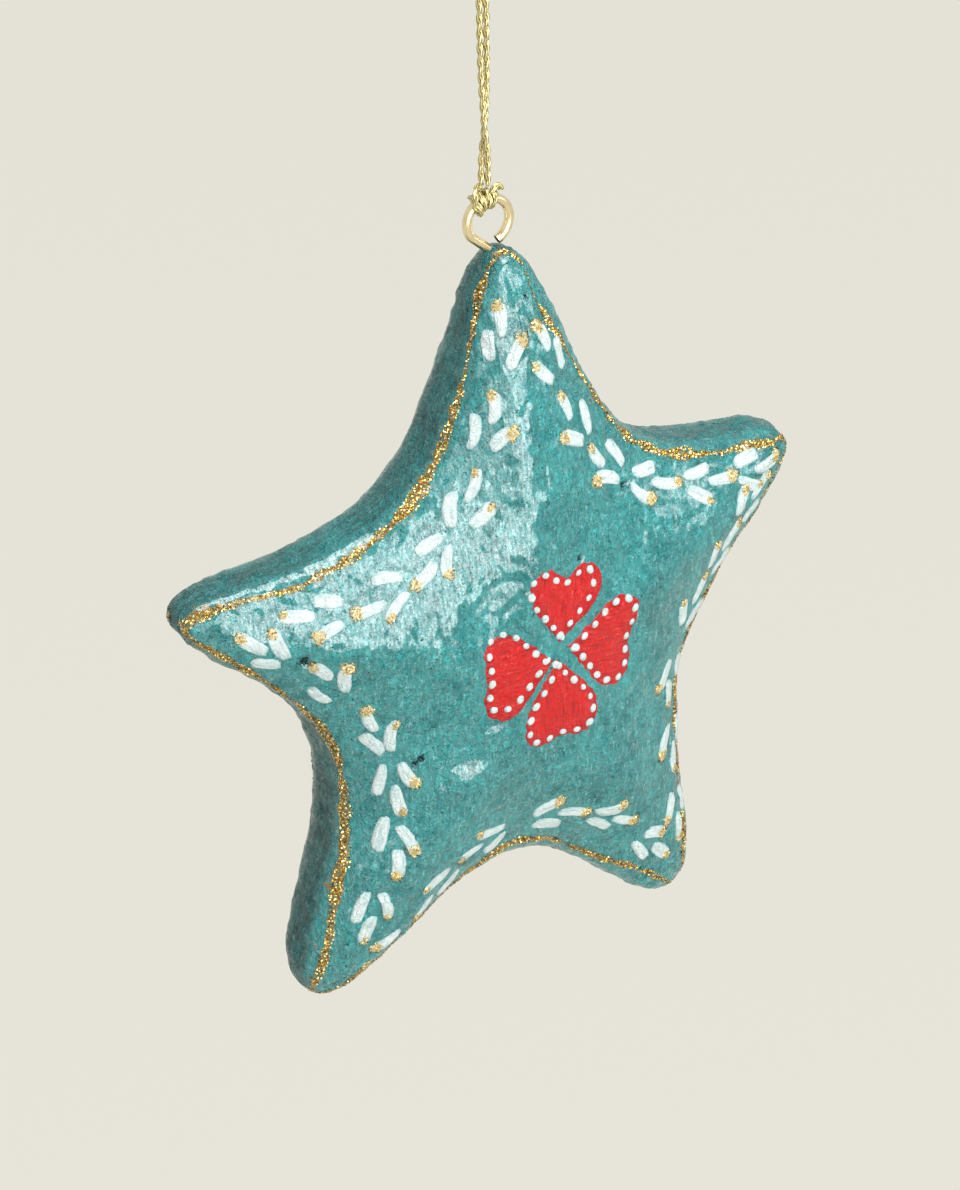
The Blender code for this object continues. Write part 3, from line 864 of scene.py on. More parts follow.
@dataclass
class StarForm:
    """Smooth form of the star: a spline surface over rows of points, the same as its solids have."""

    centre: Vector
    arm_reach: float = 58.0 * MM
    valley_reach: float = 24.4 * MM
    tip_half_width: float = 5.2 * MM
    tip_taper: float = 0.35
    rim_depth: tuple[float, float] = (3.8 * MM, 5.8 * MM)
    rim_inset: tuple[float, float] = (0.4 * MM, 0.2 * MM)
    shoulder_share: float = 0.72
    shoulder_depth: tuple[float, float] = (8.2 * MM, 10.6 * MM)
    crown_share: float = 0.38
    crown_depth: float = 12.7 * MM
    dome_depth: float = 13.4 * MM
    columns: int = 15
    pole_row: float = 5.0
    arms: tuple[Arm, ...] = (
        Arm(88.7, 1.067, 0.942, 118.7, 0.984),
        Arm(161.6, 0.964, 0.808, 198.2, 0.906),
        Arm(235.3, 1.041, 1.212, 267.7, 0.996),
        Arm(300.5, 0.998, 1.135, 344.4, 0.967),
        Arm(22.6, 0.924, 0.923, 51.4, 1.148),
    )

    def _row(self, row: Row, side: Side) -> np.ndarray:
        """Points of one row: two at each tip and one in each valley.

        Args:
            row: The row's distances and depths.
            side: Half of the star.

        Returns:
            The points, about the star's centre.
        """
        tip_depth = Vector((0.0, side.value * row.tip_depth, 0.0))
        valley_depth = Vector((0.0, side.value * row.valley_depth, 0.0))
        points = []
        for arm in self.arms:
            reach = (arm.reach * self.arm_reach - row.tip_inset) * row.share
            half_width = (arm.tip * self.tip_half_width - self.tip_taper * row.tip_inset) * row.share
            valley_reach = (arm.valley_reach * self.valley_reach - row.valley_inset) * row.share
            tip = direction(arm.angle) * reach
            across = direction(arm.angle + 90.0) * half_width
            points += [tip - across + tip_depth, tip + across + tip_depth,
                       direction(arm.valley_angle) * valley_reach + valley_depth]
        return np.array([tuple(point) for point in points])

    def _control(self, side: Side) -> np.ndarray:
        """Grid of control points of one half, with a row beyond each end.

        Args:
            side: Half of the star.

        Returns:
            Rows of points from the joint to the pole.
        """
        half_rim = (self.rim_depth[0] / 2, self.rim_depth[1] / 2)
        rows = (
            Row(1.0, 0.0, 0.0, 0.0, 0.0),
            Row(1.0, 0.0, 0.0, *half_rim),
            Row(1.0, *self.rim_inset, *self.rim_depth),
            Row(self.shoulder_share, 0.0, 0.0, *self.shoulder_depth),
            Row(self.crown_share, 0.0, 0.0, self.crown_depth, self.crown_depth),
        )
        grid = [self._row(row, side) for row in rows]
        pole = np.zeros_like(grid[0])
        pole[:, 1] = side.value * self.dome_depth
        beyond = grid[-1] * np.array([-1.0, 1.0, -1.0])
        return np.stack([2 * grid[0] - grid[1], *grid, pole, beyond])

    @staticmethod
    def _weights(t: np.ndarray) -> np.ndarray:
        """Weights of four neighbouring points of a uniform cubic spline."""
        return np.stack([(1 - t) ** 3, 3 * t ** 3 - 6 * t ** 2 + 4, -3 * t ** 3 + 3 * t ** 2 + 3 * t + 1,
                         t ** 3]) / 6

    def surface(self, around: np.ndarray, inward: np.ndarray, side: Side) -> np.ndarray:
        """Points on the smooth form.

        Args:
            around: Places along the outline, three for each arm.
            inward: Places from the joint, 0, to the pole, 5, with the rim near 2. The two broadcast.
            side: Half of the star.

        Returns:
            Points, with the shape of the places and one more axis.
        """
        control = self._control(side)
        column = np.floor(around).astype(int)
        row = np.minimum(np.floor(inward).astype(int), control.shape[0] - 4)
        across, down = self._weights(around - column), self._weights(inward - row)
        points = np.array(self.centre)
        for i in range(4):
            for k in range(4):
                weight = (down[i] * across[k])[..., None]
                points = points + weight * control[row + i, (column + k - 1) % self.columns]
        return points

    def even_columns(self, count: int) -> np.ndarray:
        """Places along the outline that lie evenly far apart.

        Args:
            count: Number of places.

        Returns:
            Places for surface.
        """
        fine = np.linspace(0.0, self.columns, 3001)
        length = lengths_along(self.surface(fine, np.ones(1), Side.FRONT))
        return np.interp(np.arange(count) / count * length[-1], length, fine)

    def even_rows(self, count: int) -> np.ndarray:
        """Places from the joint to the pole that lie evenly far apart along the top arm.

        Args:
            count: Number of steps.

        Returns:
            Places for surface.
        """
        fine = np.linspace(0.0, self.pole_row, 1001)
        length = lengths_along(self.surface(np.full(1, 0.5), fine, Side.FRONT))
        return np.interp(np.linspace(0.0, length[-1], count + 1), length, fine)


@dataclass
class GoldLine:
    """Course and width of the glitter line along a rim: it runs off over each tip's end.

    Each pair of its tables is a place along the outline, three for each arm, and what holds there:
    the row from the joint, its shift on the rear, and how much wider the tube was pressed.
    """

    width: float = 1.75 * MM
    usual: float = 0.90
    narrowest: float = 0.38
    slow_swing: float = 0.70
    slow_size: float = 9.0 * MM
    quick_swing: float = 0.95
    quick_size: float = 2.8 * MM
    rounding: float = 0.06
    period: float = 15.0
    rear_shifts: Pairs = ((0.2, 1.2), (1.4, 1.1), (2.1, 0.25), (14.6, 0.25))
    rows: Pairs = (
        (0.50, 0.85), (0.78, 0.85), (1.05, 1.1), (1.35, 1.55), (1.80, 1.7), (2.20, 1.85), (2.70, 2.15),
        (3.10, 1.9), (3.40, 1.6), (3.64, 0.9), (3.80, 1.95), (4.10, 2.0), (4.60, 1.65), (5.15, 1.65),
        (5.50, 2.0), (6.00, 2.2), (6.30, 2.0), (6.48, 1.1), (6.75, 1.9), (7.20, 2.0), (8.00, 2.25),
        (8.50, 2.1), (9.00, 2.45), (9.35, 2.1), (9.55, 1.1), (9.80, 2.0), (11.0, 2.0), (12.3, 2.0),
        (12.48, 1.1), (12.75, 2.0), (13.2, 2.05), (13.9, 1.85), (14.4, 1.85), (14.9, 2.2), (15.22, 2.15),
    )
    pressed: Pairs = (
        (0.15, 0.0), (0.35, -0.55), (0.60, -0.5), (0.80, 0.0), (1.30, 0.0), (1.42, -0.35), (1.60, -0.3),
        (1.70, 0.0), (2.75, 0.0), (3.25, 0.45), (3.42, 0.8), (3.60, 0.6), (3.72, 0.0), (5.30, 0.0),
        (5.70, 0.55), (6.30, 0.75), (6.50, 0.0), (12.9, 0.0), (13.1, -0.1), (13.8, -0.1), (14.0, -0.4),
        (14.5, -0.35), (14.8, 0.15), (14.98, 0.1),
    )

    def _look_up(self, table: Pairs, around: Any) -> Any:
        """Number or numbers that a table holds at places along the outline."""
        places, numbers = np.array(table).T
        return np.interp(around, places, numbers, period=self.period)

    def row(self, around: np.ndarray, side: Side) -> np.ndarray:
        """Row that the line runs along.

        Args:
            around: Places along the outline.
            side: Half of the star.

        Returns:
            Places from the joint to the pole.
        """
        shifts = (-self.rounding, 0.0, self.rounding)
        middle = sum(self._look_up(self.rows, around + shift) for shift in shifts) / len(shifts)
        return middle if side is Side.FRONT else middle + self._look_up(self.rear_shifts, around)

    def width_at(self, place: Vector, around: float) -> float:
        """Width of the line, which is ragged and wider where the tube was pressed harder.

        Args:
            place: Place on the line.
            around: The same place along the outline.

        Returns:
            Width in metres.
        """
        slow = self.slow_swing * noise.noise(place / self.slow_size)
        quick = self.quick_swing * noise.noise(place / self.quick_size)
        extra = float(self._look_up(self.pressed, around))
        return self.width * max(self.narrowest, self.usual + slow * (1.0 - abs(extra)) + quick + extra)


@dataclass
class StarSkin:
    """Painted skin of the star, over both halves and their joint."""

    form: StarForm
    line: GoldLine
    relief: Relief = field(default_factory=Relief)
    columns: int = 640
    front_rows: int = 96
    rear_rows: int = 46
    flow_pitch: float = 65.0 * MM
    wall_rows: tuple[float, float] = (0.75, 1.75)
    glue_spread: float = 1.5
    # Gain from a chip's depth to its darker, duller mark.
    chip_mark: float = 1.3

    def build(self, material: bpy.types.Material) -> bpy.types.Object:
        """Make the skin as one closed mesh.

        Args:
            material: Its finish.

        Returns:
            The piece.
        """
        around = self.form.even_columns(self.columns)
        points: list[Vector] = []
        notes: dict[str, list] = {"gilding": [], "wall": [], "chipped": [], "flow": []}
        front = self._half(Side.FRONT, around, self.front_rows, points, notes)
        rear = self._half(Side.REAR, around, self.rear_rows, points, notes)
        faces = self._net(front, Side.FRONT) + self._net([front[0], *rear], Side.REAR)
        return new_piece("star_skin", points, faces, material, notes)

    def _half(self, side: Side, around: np.ndarray, rows: int, points: list[Vector],
              notes: dict[str, list]) -> list[list[int]]:
        """Add one half's points, where the rear half leaves the joint to the front one.

        Args:
            side: Half of the star.
            around: Places along the outline.
            rows: Steps from the joint to the pole.
            points: Takes the points.
            notes: Takes the attributes of each point.

        Returns:
            Vertex numbers of each ring, the last one holding the pole alone.
        """
        inward = self.form.even_rows(rows)
        smooth = self.form.surface(around[None, :], inward[:, None], side)
        normals = self._normals(smooth)
        steps = np.linalg.norm(np.gradient(smooth, axis=0), axis=2) / np.gradient(inward)[:, None]
        line_row = self.line.row(around, side)
        top = smooth[..., 2].max()
        radius = self.columns * np.linalg.norm(smooth[0, 1] - smooth[0, 0]) / (2.0 * pi)
        front_row, wall_row = self.wall_rows[1], self.wall_rows[0]
        rings = []
        for i in range(0 if side is Side.FRONT else 1, rows):
            rings.append(list(range(len(points), len(points) + self.columns)))
            edge = np.clip((front_row - inward[i]) / (front_row - wall_row), 0.0, 1.0)
            for k in range(self.columns):
                place = Vector(smooth[i, k])
                chipped = max(0.0, self.relief.chipped(place, self.form.centre))
                height = self.relief.height(place, edge, self.form.centre) - chipped * self.relief.chip_depth
                height += self.relief.collar(place, top)
                points.append(place + Vector(normals[i, k]) * height)
                half_width = 0.5 * self.line.width_at(place, around[k])
                away = abs(inward[i] - line_row[k]) * steps[i, k] / half_width
                turn = 2.0 * pi * k / self.columns
                notes["gilding"].append(min(1.0, max(0.0, self.glue_spread - away)))
                notes["wall"].append(edge * edge * (3.0 - 2.0 * edge))
                notes["chipped"].append(min(1.0, chipped * self.chip_mark))
                notes["flow"].append((radius * cos(turn), radius * sin(turn), self.flow_pitch * i / rows))
        rings.append([len(points)])
        points.append(Vector(smooth[-1].mean(axis=0)))
        for key in ("gilding", "wall", "chipped"):
            notes[key].append(0.0)
        notes["flow"].append((0.0, 0.0, self.flow_pitch))
        return rings

    def _normals(self, smooth: np.ndarray) -> np.ndarray:
        """Unit normals of a half.

        Args:
            smooth: Grid of points.

        Returns:
            Normals that point out, level along the joint.
        """
        along = np.roll(smooth, -1, axis=1) - np.roll(smooth, 1, axis=1)
        normal = np.cross(along, np.gradient(smooth, axis=0))
        normal[0, :, 1] = 0.0
        normal /= np.maximum(np.linalg.norm(normal, axis=2, keepdims=True), 1e-12)
        out = (normal[1] * (smooth[1] - np.array(self.form.centre))).sum(axis=1)
        return normal if np.median(out) > 0 else -normal

    def _net(self, rings: list[list[int]], side: Side) -> list[tuple[int, ...]]:
        """Quads between rings and triangles to the pole.

        Args:
            rings: Vertex numbers from the joint to the pole.
            side: Half of the star.

        Returns:
            Faces that point out.
        """
        pairs = [(k, (k + 1) % self.columns) for k in range(self.columns)]
        faces = [(ring[k], ring[j], inner[j], inner[k])
                 for ring, inner in zip(rings[:-2], rings[1:-1]) for k, j in pairs]
        faces += [(rings[-2][k], rings[-2][j], rings[-1][0]) for k, j in pairs]
        return faces if side is Side.FRONT else [face[::-1] for face in faces]


@dataclass
class Canvas:
    """The skin as something to paint on. Its places are distances right of and over the star's centre."""

    skin: bpy.types.Object
    centre: Vector
    reach: float = 9.0 * MM
    start: float = 60.0 * MM
    face_depth: float = 8.0 * MM
    smoothing: float = 1.6 * MM

    def __post_init__(self) -> None:
        """Make the tree of the skin's faces that places are looked up in."""
        mesh = self.skin.data
        self.tree = BVHTree.FromPolygons([v.co for v in mesh.vertices], [p.vertices for p in mesh.polygons])

    def spot(self, place: Vector) -> Spot:
        """Point and smoothed normal of the front at a place in the star's plane.

        Args:
            place: Place from the star's centre.

        Returns:
            Point and unit normal.
        """
        outside = self.centre + Vector((place.x, -self.start, place.z))
        point, _, _, _ = self.tree.ray_cast(outside, Vector((0.0, 1.0, 0.0)))
        if point is None:
            inside = self.centre + Vector((place.x, -self.face_depth, place.z))
            point, _, _, _ = self.tree.find_nearest(inside)
        near = [normal for _, normal, _, _ in self.tree.find_nearest_range(point, self.smoothing)]
        return point, sum(near, Vector()).normalized()

    def lay(self, place: Vector, normal: Vector) -> Vector:
        """Point of the skin under a place on a tangent plane.

        Args:
            place: Place on the plane.
            normal: Normal of the plane.

        Returns:
            Point on the skin.
        """
        point, _, _, _ = self.tree.ray_cast(place + normal * self.reach, -normal)
        if point is None or (point - place).length > self.reach:
            point, _, _, _ = self.tree.find_nearest(place)
        return point


@dataclass
class PaintLayer:
    """Raised strokes of one paint, joined into one piece. Each is a closed lens laid on the skin."""

    canvas: Canvas
    thickness: float
    rings: int
    sink: float = 0.15 * MM
    edge_sink: float = 0.05 * MM
    pattern_step: float = 0.1
    vertices: list[Vector] = field(default_factory=list)
    faces: list[tuple[int, ...]] = field(default_factory=list)
    edge: list[float] = field(default_factory=list)
    places: list[Triple] = field(default_factory=list)
    strokes: int = 0

    def stroke(self, spot: Spot, heading: Vector, outline: Sequence[tuple[float, float]]) -> None:
        """Lay one stroke on the skin.

        Args:
            spot: Point and normal at its middle.
            heading: Direction of its length in the star's plane.
            outline: Its outline about the middle, along and to the left of the heading.
        """
        normal = spot[1]
        along = (heading - normal * heading.dot(normal)).normalized()
        axes = (along, along.cross(normal))
        count = len(outline)
        self.strokes += 1
        top = len(self.vertices)
        self._add(spot, axes, (0.0, 0.0), self.thickness, 0.0)
        for ring in range(1, self.rings + 1):
            share = ring / self.rings
            raised = self.thickness * (1.0 - share ** 4) - (0.0 if ring < self.rings else self.edge_sink)
            for a, b in outline:
                self._add(spot, axes, (a * share, b * share), raised, share)
        under = len(self.vertices)
        self._add(spot, axes, (0.0, 0.0), -self.sink, 1.0)
        for ring in range(1, self.rings):
            for a, b in outline:
                self._add(spot, axes, (a * ring / self.rings, b * ring / self.rings), -self.sink, 1.0)
        upper = [top + 1 + ring * count for ring in range(self.rings)]
        lower = [under + 1 + ring * count for ring in range(self.rings - 1)] + [upper[-1]]
        for centre, starts, turn in ((top, upper, 1), (under, lower, -1)):
            for k in range(count):
                j = (k + 1) % count
                faces = [(centre, starts[0] + j, starts[0] + k)]
                faces += [(inner + k, inner + j, outer + j, outer + k)
                          for inner, outer in zip(starts, starts[1:])]
                self.faces += [face[::turn] for face in faces]

    def _add(self, spot: Spot, axes: Spot, place: tuple[float, float], raised: float, edge: float) -> None:
        """Add a vertex.

        Args:
            spot: Point and normal at the stroke's middle.
            axes: The stroke's long axis and the one to its left.
            place: Place along the two axes.
            raised: Height over the skin.
            edge: Share of the way to the stroke's edge.
        """
        middle, normal = spot
        ground = self.canvas.lay(middle + axes[0] * place[0] + axes[1] * place[1], normal)
        self.vertices.append(ground + normal * raised)
        self.edge.append(edge)
        self.places.append((place[0], place[1] + self.strokes * self.pattern_step, 0.0))

    def piece(self, name: str, material: bpy.types.Material) -> bpy.types.Object:
        """Finish the layer as one piece."""
        attributes = {"edge": self.edge, "stroke": self.places}
        return new_piece(name, self.vertices, self.faces, material, attributes)


@dataclass(frozen=True)
class Sprig:
    """Three leaves: place between the two side leaves in millimetres, and heading towards the tip."""

    x: float
    z: float
    heading: float


@dataclass
class Garland:
    """White leaves along the front's edges, each sprig opening towards its arm's tip.

    The sprigs stand in rows along the sides of the arms, with the star's edge on the left of the
    first row's headings, on the right of the second's, and so on. The fans turn a sprig's outer,
    inner and leading leaf towards that edge, and the strays shift a leaf across and along.
    """

    canvas: Canvas
    leaf_length: float = 5.5 * MM
    leaf_width: float = 2.15 * MM
    side_spread: float = 1.75 * MM
    lead: float = 4.0 * MM
    fans: Triple = (17.0, -30.0, 4.0)
    strays: tuple[float, float] = (0.18 * MM, 0.3 * MM)
    turn: float = 6.0
    bend: float = 0.10
    length_shares: tuple[float, float] = (0.86, 1.12)
    width_shares: tuple[float, float] = (0.86, 1.14)
    bluntness: tuple[float, float] = (0.62, 0.64)
    fullness: float = 0.13
    raggedness: float = 0.06
    outline_points: int = 20
    paint: float = 0.16 * MM
    seed: int = 5
    gold_reach: float = 0.33
    sprigs: tuple[tuple[Sprig, ...], ...] = (
        (Sprig(-9.8, 25.9, 66), Sprig(-5.5, 36.3, 74), Sprig(-2.0, 47.8, 86)),
        (Sprig(-14.3, 20.6, 222), Sprig(-22.1, 16.6, 200), Sprig(-32.0, 15.3, 170)),
        (Sprig(-24.2, -6.5, 112), Sprig(-31.4, 3.8, 128), Sprig(-40.3, 11.4, 142)),
        (Sprig(-22.4, -12.4, 280), Sprig(-22.7, -22.4, 265), Sprig(-25.9, -33.3, 260)),
        (Sprig(-6.5, -27.6, 200), Sprig(-14.5, -33.0, 232), Sprig(-21.6, -41.2, 238)),
        (Sprig(3.0, -26.8, -3), Sprig(12.0, -29.3, -23), Sprig(20.8, -37.0, -46)),
        (Sprig(25.2, -9.5, 270), Sprig(26.0, -21.0, 275), Sprig(27.0, -33.0, 279)),
        (Sprig(28.5, -1.0, 66), Sprig(33.4, 6.2, 52), Sprig(39.0, 13.2, 40)),
        (Sprig(20.5, 22.5, -22), Sprig(30.3, 19.4, -12), Sprig(39.4, 18.6, -2)),
        (Sprig(14.9, 26.0, 135), Sprig(9.5, 33.6, 117), Sprig(5.4, 44.2, 106)),
    )

    def build(self, material: bpy.types.Material) -> tuple[bpy.types.Object, list[tuple[Spot, Vector]]]:
        """Paint every leaf.

        Args:
            material: The paint.

        Returns:
            The piece, and the spot and heading of each leaf end that gets glitter.
        """
        chance = random.Random(self.seed)
        layer = PaintLayer(self.canvas, self.paint, rings=5)
        ends = []
        for number, row in enumerate(self.sprigs):
            for sprig in row:
                ends += self._paint_sprig(layer, sprig, -1.0 if number % 2 else 1.0, chance)
        return layer.piece("leaf_garland", material), ends

    def _paint_sprig(self, layer: PaintLayer, sprig: Sprig, outer: float,
                     chance: random.Random) -> list[tuple[Spot, Vector]]:
        """Paint the outer, inner and leading leaf of one sprig.

        Args:
            layer: Takes the strokes.
            sprig: Place and heading.
            outer: 1 where the star's edge is on the left of the heading, and -1 on the right.
            chance: Source of small differences.

        Returns:
            Spot and heading of the leaf ends that get glitter.
        """
        ahead, left = direction(sprig.heading), direction(sprig.heading + 90.0)
        middle = Vector((sprig.x * MM, 0.0, sprig.z * MM))
        aside = left * outer * self.side_spread
        leaves = ((middle + aside, False), (middle - aside, True), (middle + ahead * self.lead, True))
        ends = []
        for (place, gilded), fan in zip(leaves, self.fans):
            across, along = (chance.gauss(0.0, stray) for stray in self.strays)
            place = place + left * across + ahead * along
            heading = direction(sprig.heading + outer * fan + chance.gauss(0.0, self.turn))
            length = self.leaf_length * chance.uniform(*self.length_shares)
            width = self.leaf_width * chance.uniform(*self.width_shares)
            outline = self._leaf(length, width, chance.uniform(-self.bend, self.bend), chance)
            layer.stroke(self.canvas.spot(place), heading, outline)
            if gilded:
                ends.append((self.canvas.spot(place + heading * length * self.gold_reach), heading))
        return ends

    def _leaf(self, length: float, width: float, bend: float,
              chance: random.Random) -> list[tuple[float, float]]:
        """Outline of one pressed brush stroke: blunt, ragged and fuller towards its front.

        Args:
            length: Length of the stroke.
            width: Its width.
            bend: Sideways bow as a share of its length.
            chance: Source of its ragged edge.

        Returns:
            Points along and to the left.
        """
        points = []
        for k in range(self.outline_points):
            turn = 2.0 * pi * k / self.outline_points
            ragged = chance.uniform(1.0 - self.raggedness, 1.0 + self.raggedness)
            a = length / 2 * ragged * copysign(abs(cos(turn)) ** self.bluntness[0], cos(turn))
            b = width / 2 * ragged * copysign(abs(sin(turn)) ** self.bluntness[1], sin(turn))
            b *= 1.0 + (self.fullness + bend) * cos(turn)
            points.append((a, b + bend * length * (1.0 - (2.0 * a / length) ** 2)))
        return points


@dataclass(frozen=True)
class Petal:
    """One heart in millimetres: its point, heading, length, half widths and its notch's share."""

    x: float
    z: float
    heading: float
    length: float
    left: float
    right: float
    notch: float


@dataclass
class Flower:
    """Four red hearts with their points together, each edged with white dots."""

    canvas: Canvas
    paint: float = 0.12 * MM
    dot_paint: float = 0.26 * MM
    dot_spacing: float = 2.3 * MM
    dot_size: tuple[float, float] = (0.6248 * MM, 0.7668 * MM)
    dot_inset: float = 1.0 * MM
    dot_start: float = 0.4
    dot_turn: float = 15.0
    dot_shares: tuple[float, float] = (0.80, 1.15)
    dot_points: int = 12
    ragged_pitch: float = 1.1 * MM
    ragged_size: float = 0.38 * MM
    middle_share: float = 0.55
    seed: int = 3
    outline_steps: int = 9
    lobe: Pairs = ((0.24, 0.42), (0.50, 0.86), (0.76, 1.0), (0.95, 0.84), (1.0, 0.44))
    petals: tuple[Petal, ...] = (
        Petal(2.7, 3.4, 82.0, 12.0, 6.8, 6.0, 0.14),
        Petal(3.9, 2.6, -10.0, 12.4, 7.5, 7.3, 0.06),
        Petal(1.8, 1.2, 182.0, 11.6, 6.6, 7.5, 0.03),
        Petal(2.3, 1.5, -86.0, 14.0, 6.4, 6.4, 0.03),
    )

    def build(self, red: bpy.types.Material, white: bpy.types.Material) -> list[bpy.types.Object]:
        """Paint the petals and their dots.

        Args:
            red: Paint of the petals.
            white: Paint of the dots.

        Returns:
            The two pieces.
        """
        chance = random.Random(self.seed)
        petals = PaintLayer(self.canvas, self.paint, rings=16)
        dots = PaintLayer(self.canvas, self.dot_paint, rings=3)
        for petal in self.petals:
            heading, left = direction(petal.heading), direction(petal.heading + 90.0)
            half = petal.length * self.middle_share
            middle = Vector((petal.x * MM, 0.0, petal.z * MM)) + heading * half * MM
            shape = [((a - half) * MM, b * MM) for a, b in self._heart(petal)]
            petals.stroke(self.canvas.spot(middle), heading, self._ragged(shape, petal))
            for (a, b), turn in self._dot_places(shape):
                size, step = chance.uniform(*self.dot_shares), 2.0 * pi / self.dot_points
                dot = [(size * self.dot_size[0] * cos(k * step) * chance.uniform(0.95, 1.05),
                        size * self.dot_size[1] * sin(k * step)) for k in range(self.dot_points)]
                lean = direction(petal.heading + turn + chance.gauss(0.0, self.dot_turn))
                dots.stroke(self.canvas.spot(middle + heading * a + left * b), lean, dot)
        return [petals.piece("flower_petals", red), dots.piece("petal_dots", white)]

    def _heart(self, petal: Petal) -> list[tuple[float, float]]:
        """Outline of a heart in millimetres from its point, along and to the left.

        Args:
            petal: The heart's sizes.

        Returns:
            Points round the outline.
        """
        left = [(a * petal.length, b * petal.left) for a, b in self.lobe]
        right = [(a * petal.length, -b * petal.right) for a, b in reversed(self.lobe)]
        corners = [(0.0, 0.0), *left, ((1.0 - petal.notch) * petal.length, 0.0), *right]
        count = len(corners)
        points = []
        for i, start in enumerate(corners):
            end = corners[(i + 1) % count]
            before = start if i == 0 else corners[i - 1]
            after = end if i == count - 1 else corners[(i + 2) % count]
            along_and_across = list(zip(before, start, end, after))
            points += [tuple(curve_point(*four, k / self.outline_steps) for four in along_and_across)
                       for k in range(self.outline_steps)]
        return points

    def _ragged(self, shape: Sequence[tuple[float, float]], petal: Petal) -> list[tuple[float, float]]:
        """An outline made uneven, as a brush leaves it.

        Args:
            shape: The outline, along and across.
            petal: The heart that it belongs to.

        Returns:
            The uneven outline.
        """
        uneven = []
        for a, b in shape:
            ahead = noise.noise(Vector((a, b, petal.x)) / self.ragged_pitch)
            aside = noise.noise(Vector((b, a, petal.z)) / self.ragged_pitch)
            uneven.append((a + ahead * self.ragged_size, b + aside * self.ragged_size))
        return uneven

    def _dot_places(self, shape: list[tuple[float, float]]) -> list[tuple[tuple[float, float], float]]:
        """Places just inside an outline, evenly far apart, with the angle of the way out.

        Args:
            shape: The outline, along and across.

        Returns:
            Place and angle in degrees of each dot.
        """
        inset = []
        for (a, b), before, after in zip(shape, shape[-1:] + shape[:-1], shape[1:] + shape[:1]):
            da, db = after[0] - before[0], after[1] - before[1]
            size = hypot(da, db) or 1.0
            inset.append((a + db / size * self.dot_inset, b - da / size * self.dot_inset))
        sides = list(zip(inset, inset[1:] + inset[:1]))
        lengths = [hypot(end[0] - start[0], end[1] - start[1]) for start, end in sides]
        total = sum(lengths)
        dots = round(total / self.dot_spacing)
        places = []
        wanted, passed, i = self.dot_start * total / dots, 0.0, 0
        for _ in range(dots):
            while passed + lengths[i] < wanted:
                passed += lengths[i]
                i += 1
            t = (wanted - passed) / lengths[i]
            (a, b), (c, d) = sides[i]
            places.append(((a + (c - a) * t, b + (d - b) * t), degrees(atan2(-(c - a), d - b))))
            wanted += total / dots
        return places


@dataclass(frozen=True)
class Glitter:
    """How glitter lies: the flakes' diameter, number, tilt and seed."""

    per_square_mm: float
    seed: int
    flake: float = 0.23 * MM
    tilt: float = 0.80


class GlitterScatter:
    """Geometry Nodes that scatter single flakes over a mesh."""

    def __init__(self, material: bpy.types.Material) -> None:
        """Build the tree once.

        Args:
            material: Foil of the flakes.
        """
        group = bpy.data.node_groups.new("glitter_scatter", "GeometryNodeTree")
        self.group = group
        self.names = {}
        for name, kind in (("Geometry", "Geometry"), ("Density", "Float"), ("Flake Radius", "Float"),
                           ("Tilt", "Float"), ("Seed", "Int")):
            socket = group.interface.new_socket(name, in_out="INPUT", socket_type=f"NodeSocket{kind}")
            self.names[name] = socket.identifier
        group.interface.new_socket("Geometry", in_out="OUTPUT", socket_type="NodeSocketGeometry")
        tree = NodeTree(group)
        given = tree.add("NodeGroupInput").outputs
        points = tree.add("GeometryNodeDistributePointsOnFaces", None, {
            "Mesh": given["Geometry"], "Density": given["Density"], "Seed": given["Seed"]})
        flake = tree.add("GeometryNodeMeshCircle", {"fill_type": "NGON"}, {
            "Vertices": 6, "Radius": given["Flake Radius"]})
        low, high = (tree.add("ShaderNodeVectorMath", {"operation": "SCALE"}, {
            0: (end, end, 9.0 * end), "Scale": given["Tilt"]}) for end in (-1.0, 1.0))
        lean = tree.add("FunctionNodeRandomValue", {"data_type": "FLOAT_VECTOR"}, {
            0: low.outputs[0], 1: high.outputs[0], "Seed": given["Seed"]})
        euler = tree.add("FunctionNodeEulerToRotation", None, {0: lean.outputs[0]})
        turned = tree.add("FunctionNodeRotateRotation", {"rotation_space": "LOCAL"}, {
            0: points.outputs["Rotation"], 1: euler.outputs[0]})
        size = tree.add("FunctionNodeRandomValue", {"data_type": "FLOAT"}, {2: 0.55, 3: 1.25, "Seed": 7})
        placed = tree.add("GeometryNodeInstanceOnPoints", None, {
            "Points": points.outputs["Points"], "Instance": flake.outputs["Mesh"],
            "Rotation": turned.outputs[0], "Scale": size.outputs[1]})
        real = tree.add("GeometryNodeRealizeInstances", None, {0: placed.outputs[0]})
        dressed = tree.add("GeometryNodeSetMaterial", None, {0: real.outputs[0], "Material": material})
        tree.add("NodeGroupOutput", None, {0: dressed.outputs[0]})

    def scatter(self, name: str, under: bpy.types.Object, glitter: Glitter) -> bpy.types.Object:
        """Scatter flakes over a mesh and turn them into a plain one.

        Args:
            name: Piece's name.
            under: Mesh that the flakes lie on. It stays as it is.
            glitter: How they lie.

        Returns:
            The piece.
        """
        modifier = under.modifiers.new("glitter", "NODES")
        modifier.node_group = self.group
        modifier[self.names["Density"]] = glitter.per_square_mm / MM ** 2
        modifier[self.names["Flake Radius"]] = glitter.flake / 2
        modifier[self.names["Tilt"]] = glitter.tilt
        modifier[self.names["Seed"]] = glitter.seed
        bpy.context.view_layer.update()
        evaluated = under.evaluated_get(bpy.context.evaluated_depsgraph_get())
        mesh = bpy.data.meshes.new_from_object(evaluated)
        mesh.name = name
        under.modifiers.clear()
        return place_object(name, mesh)


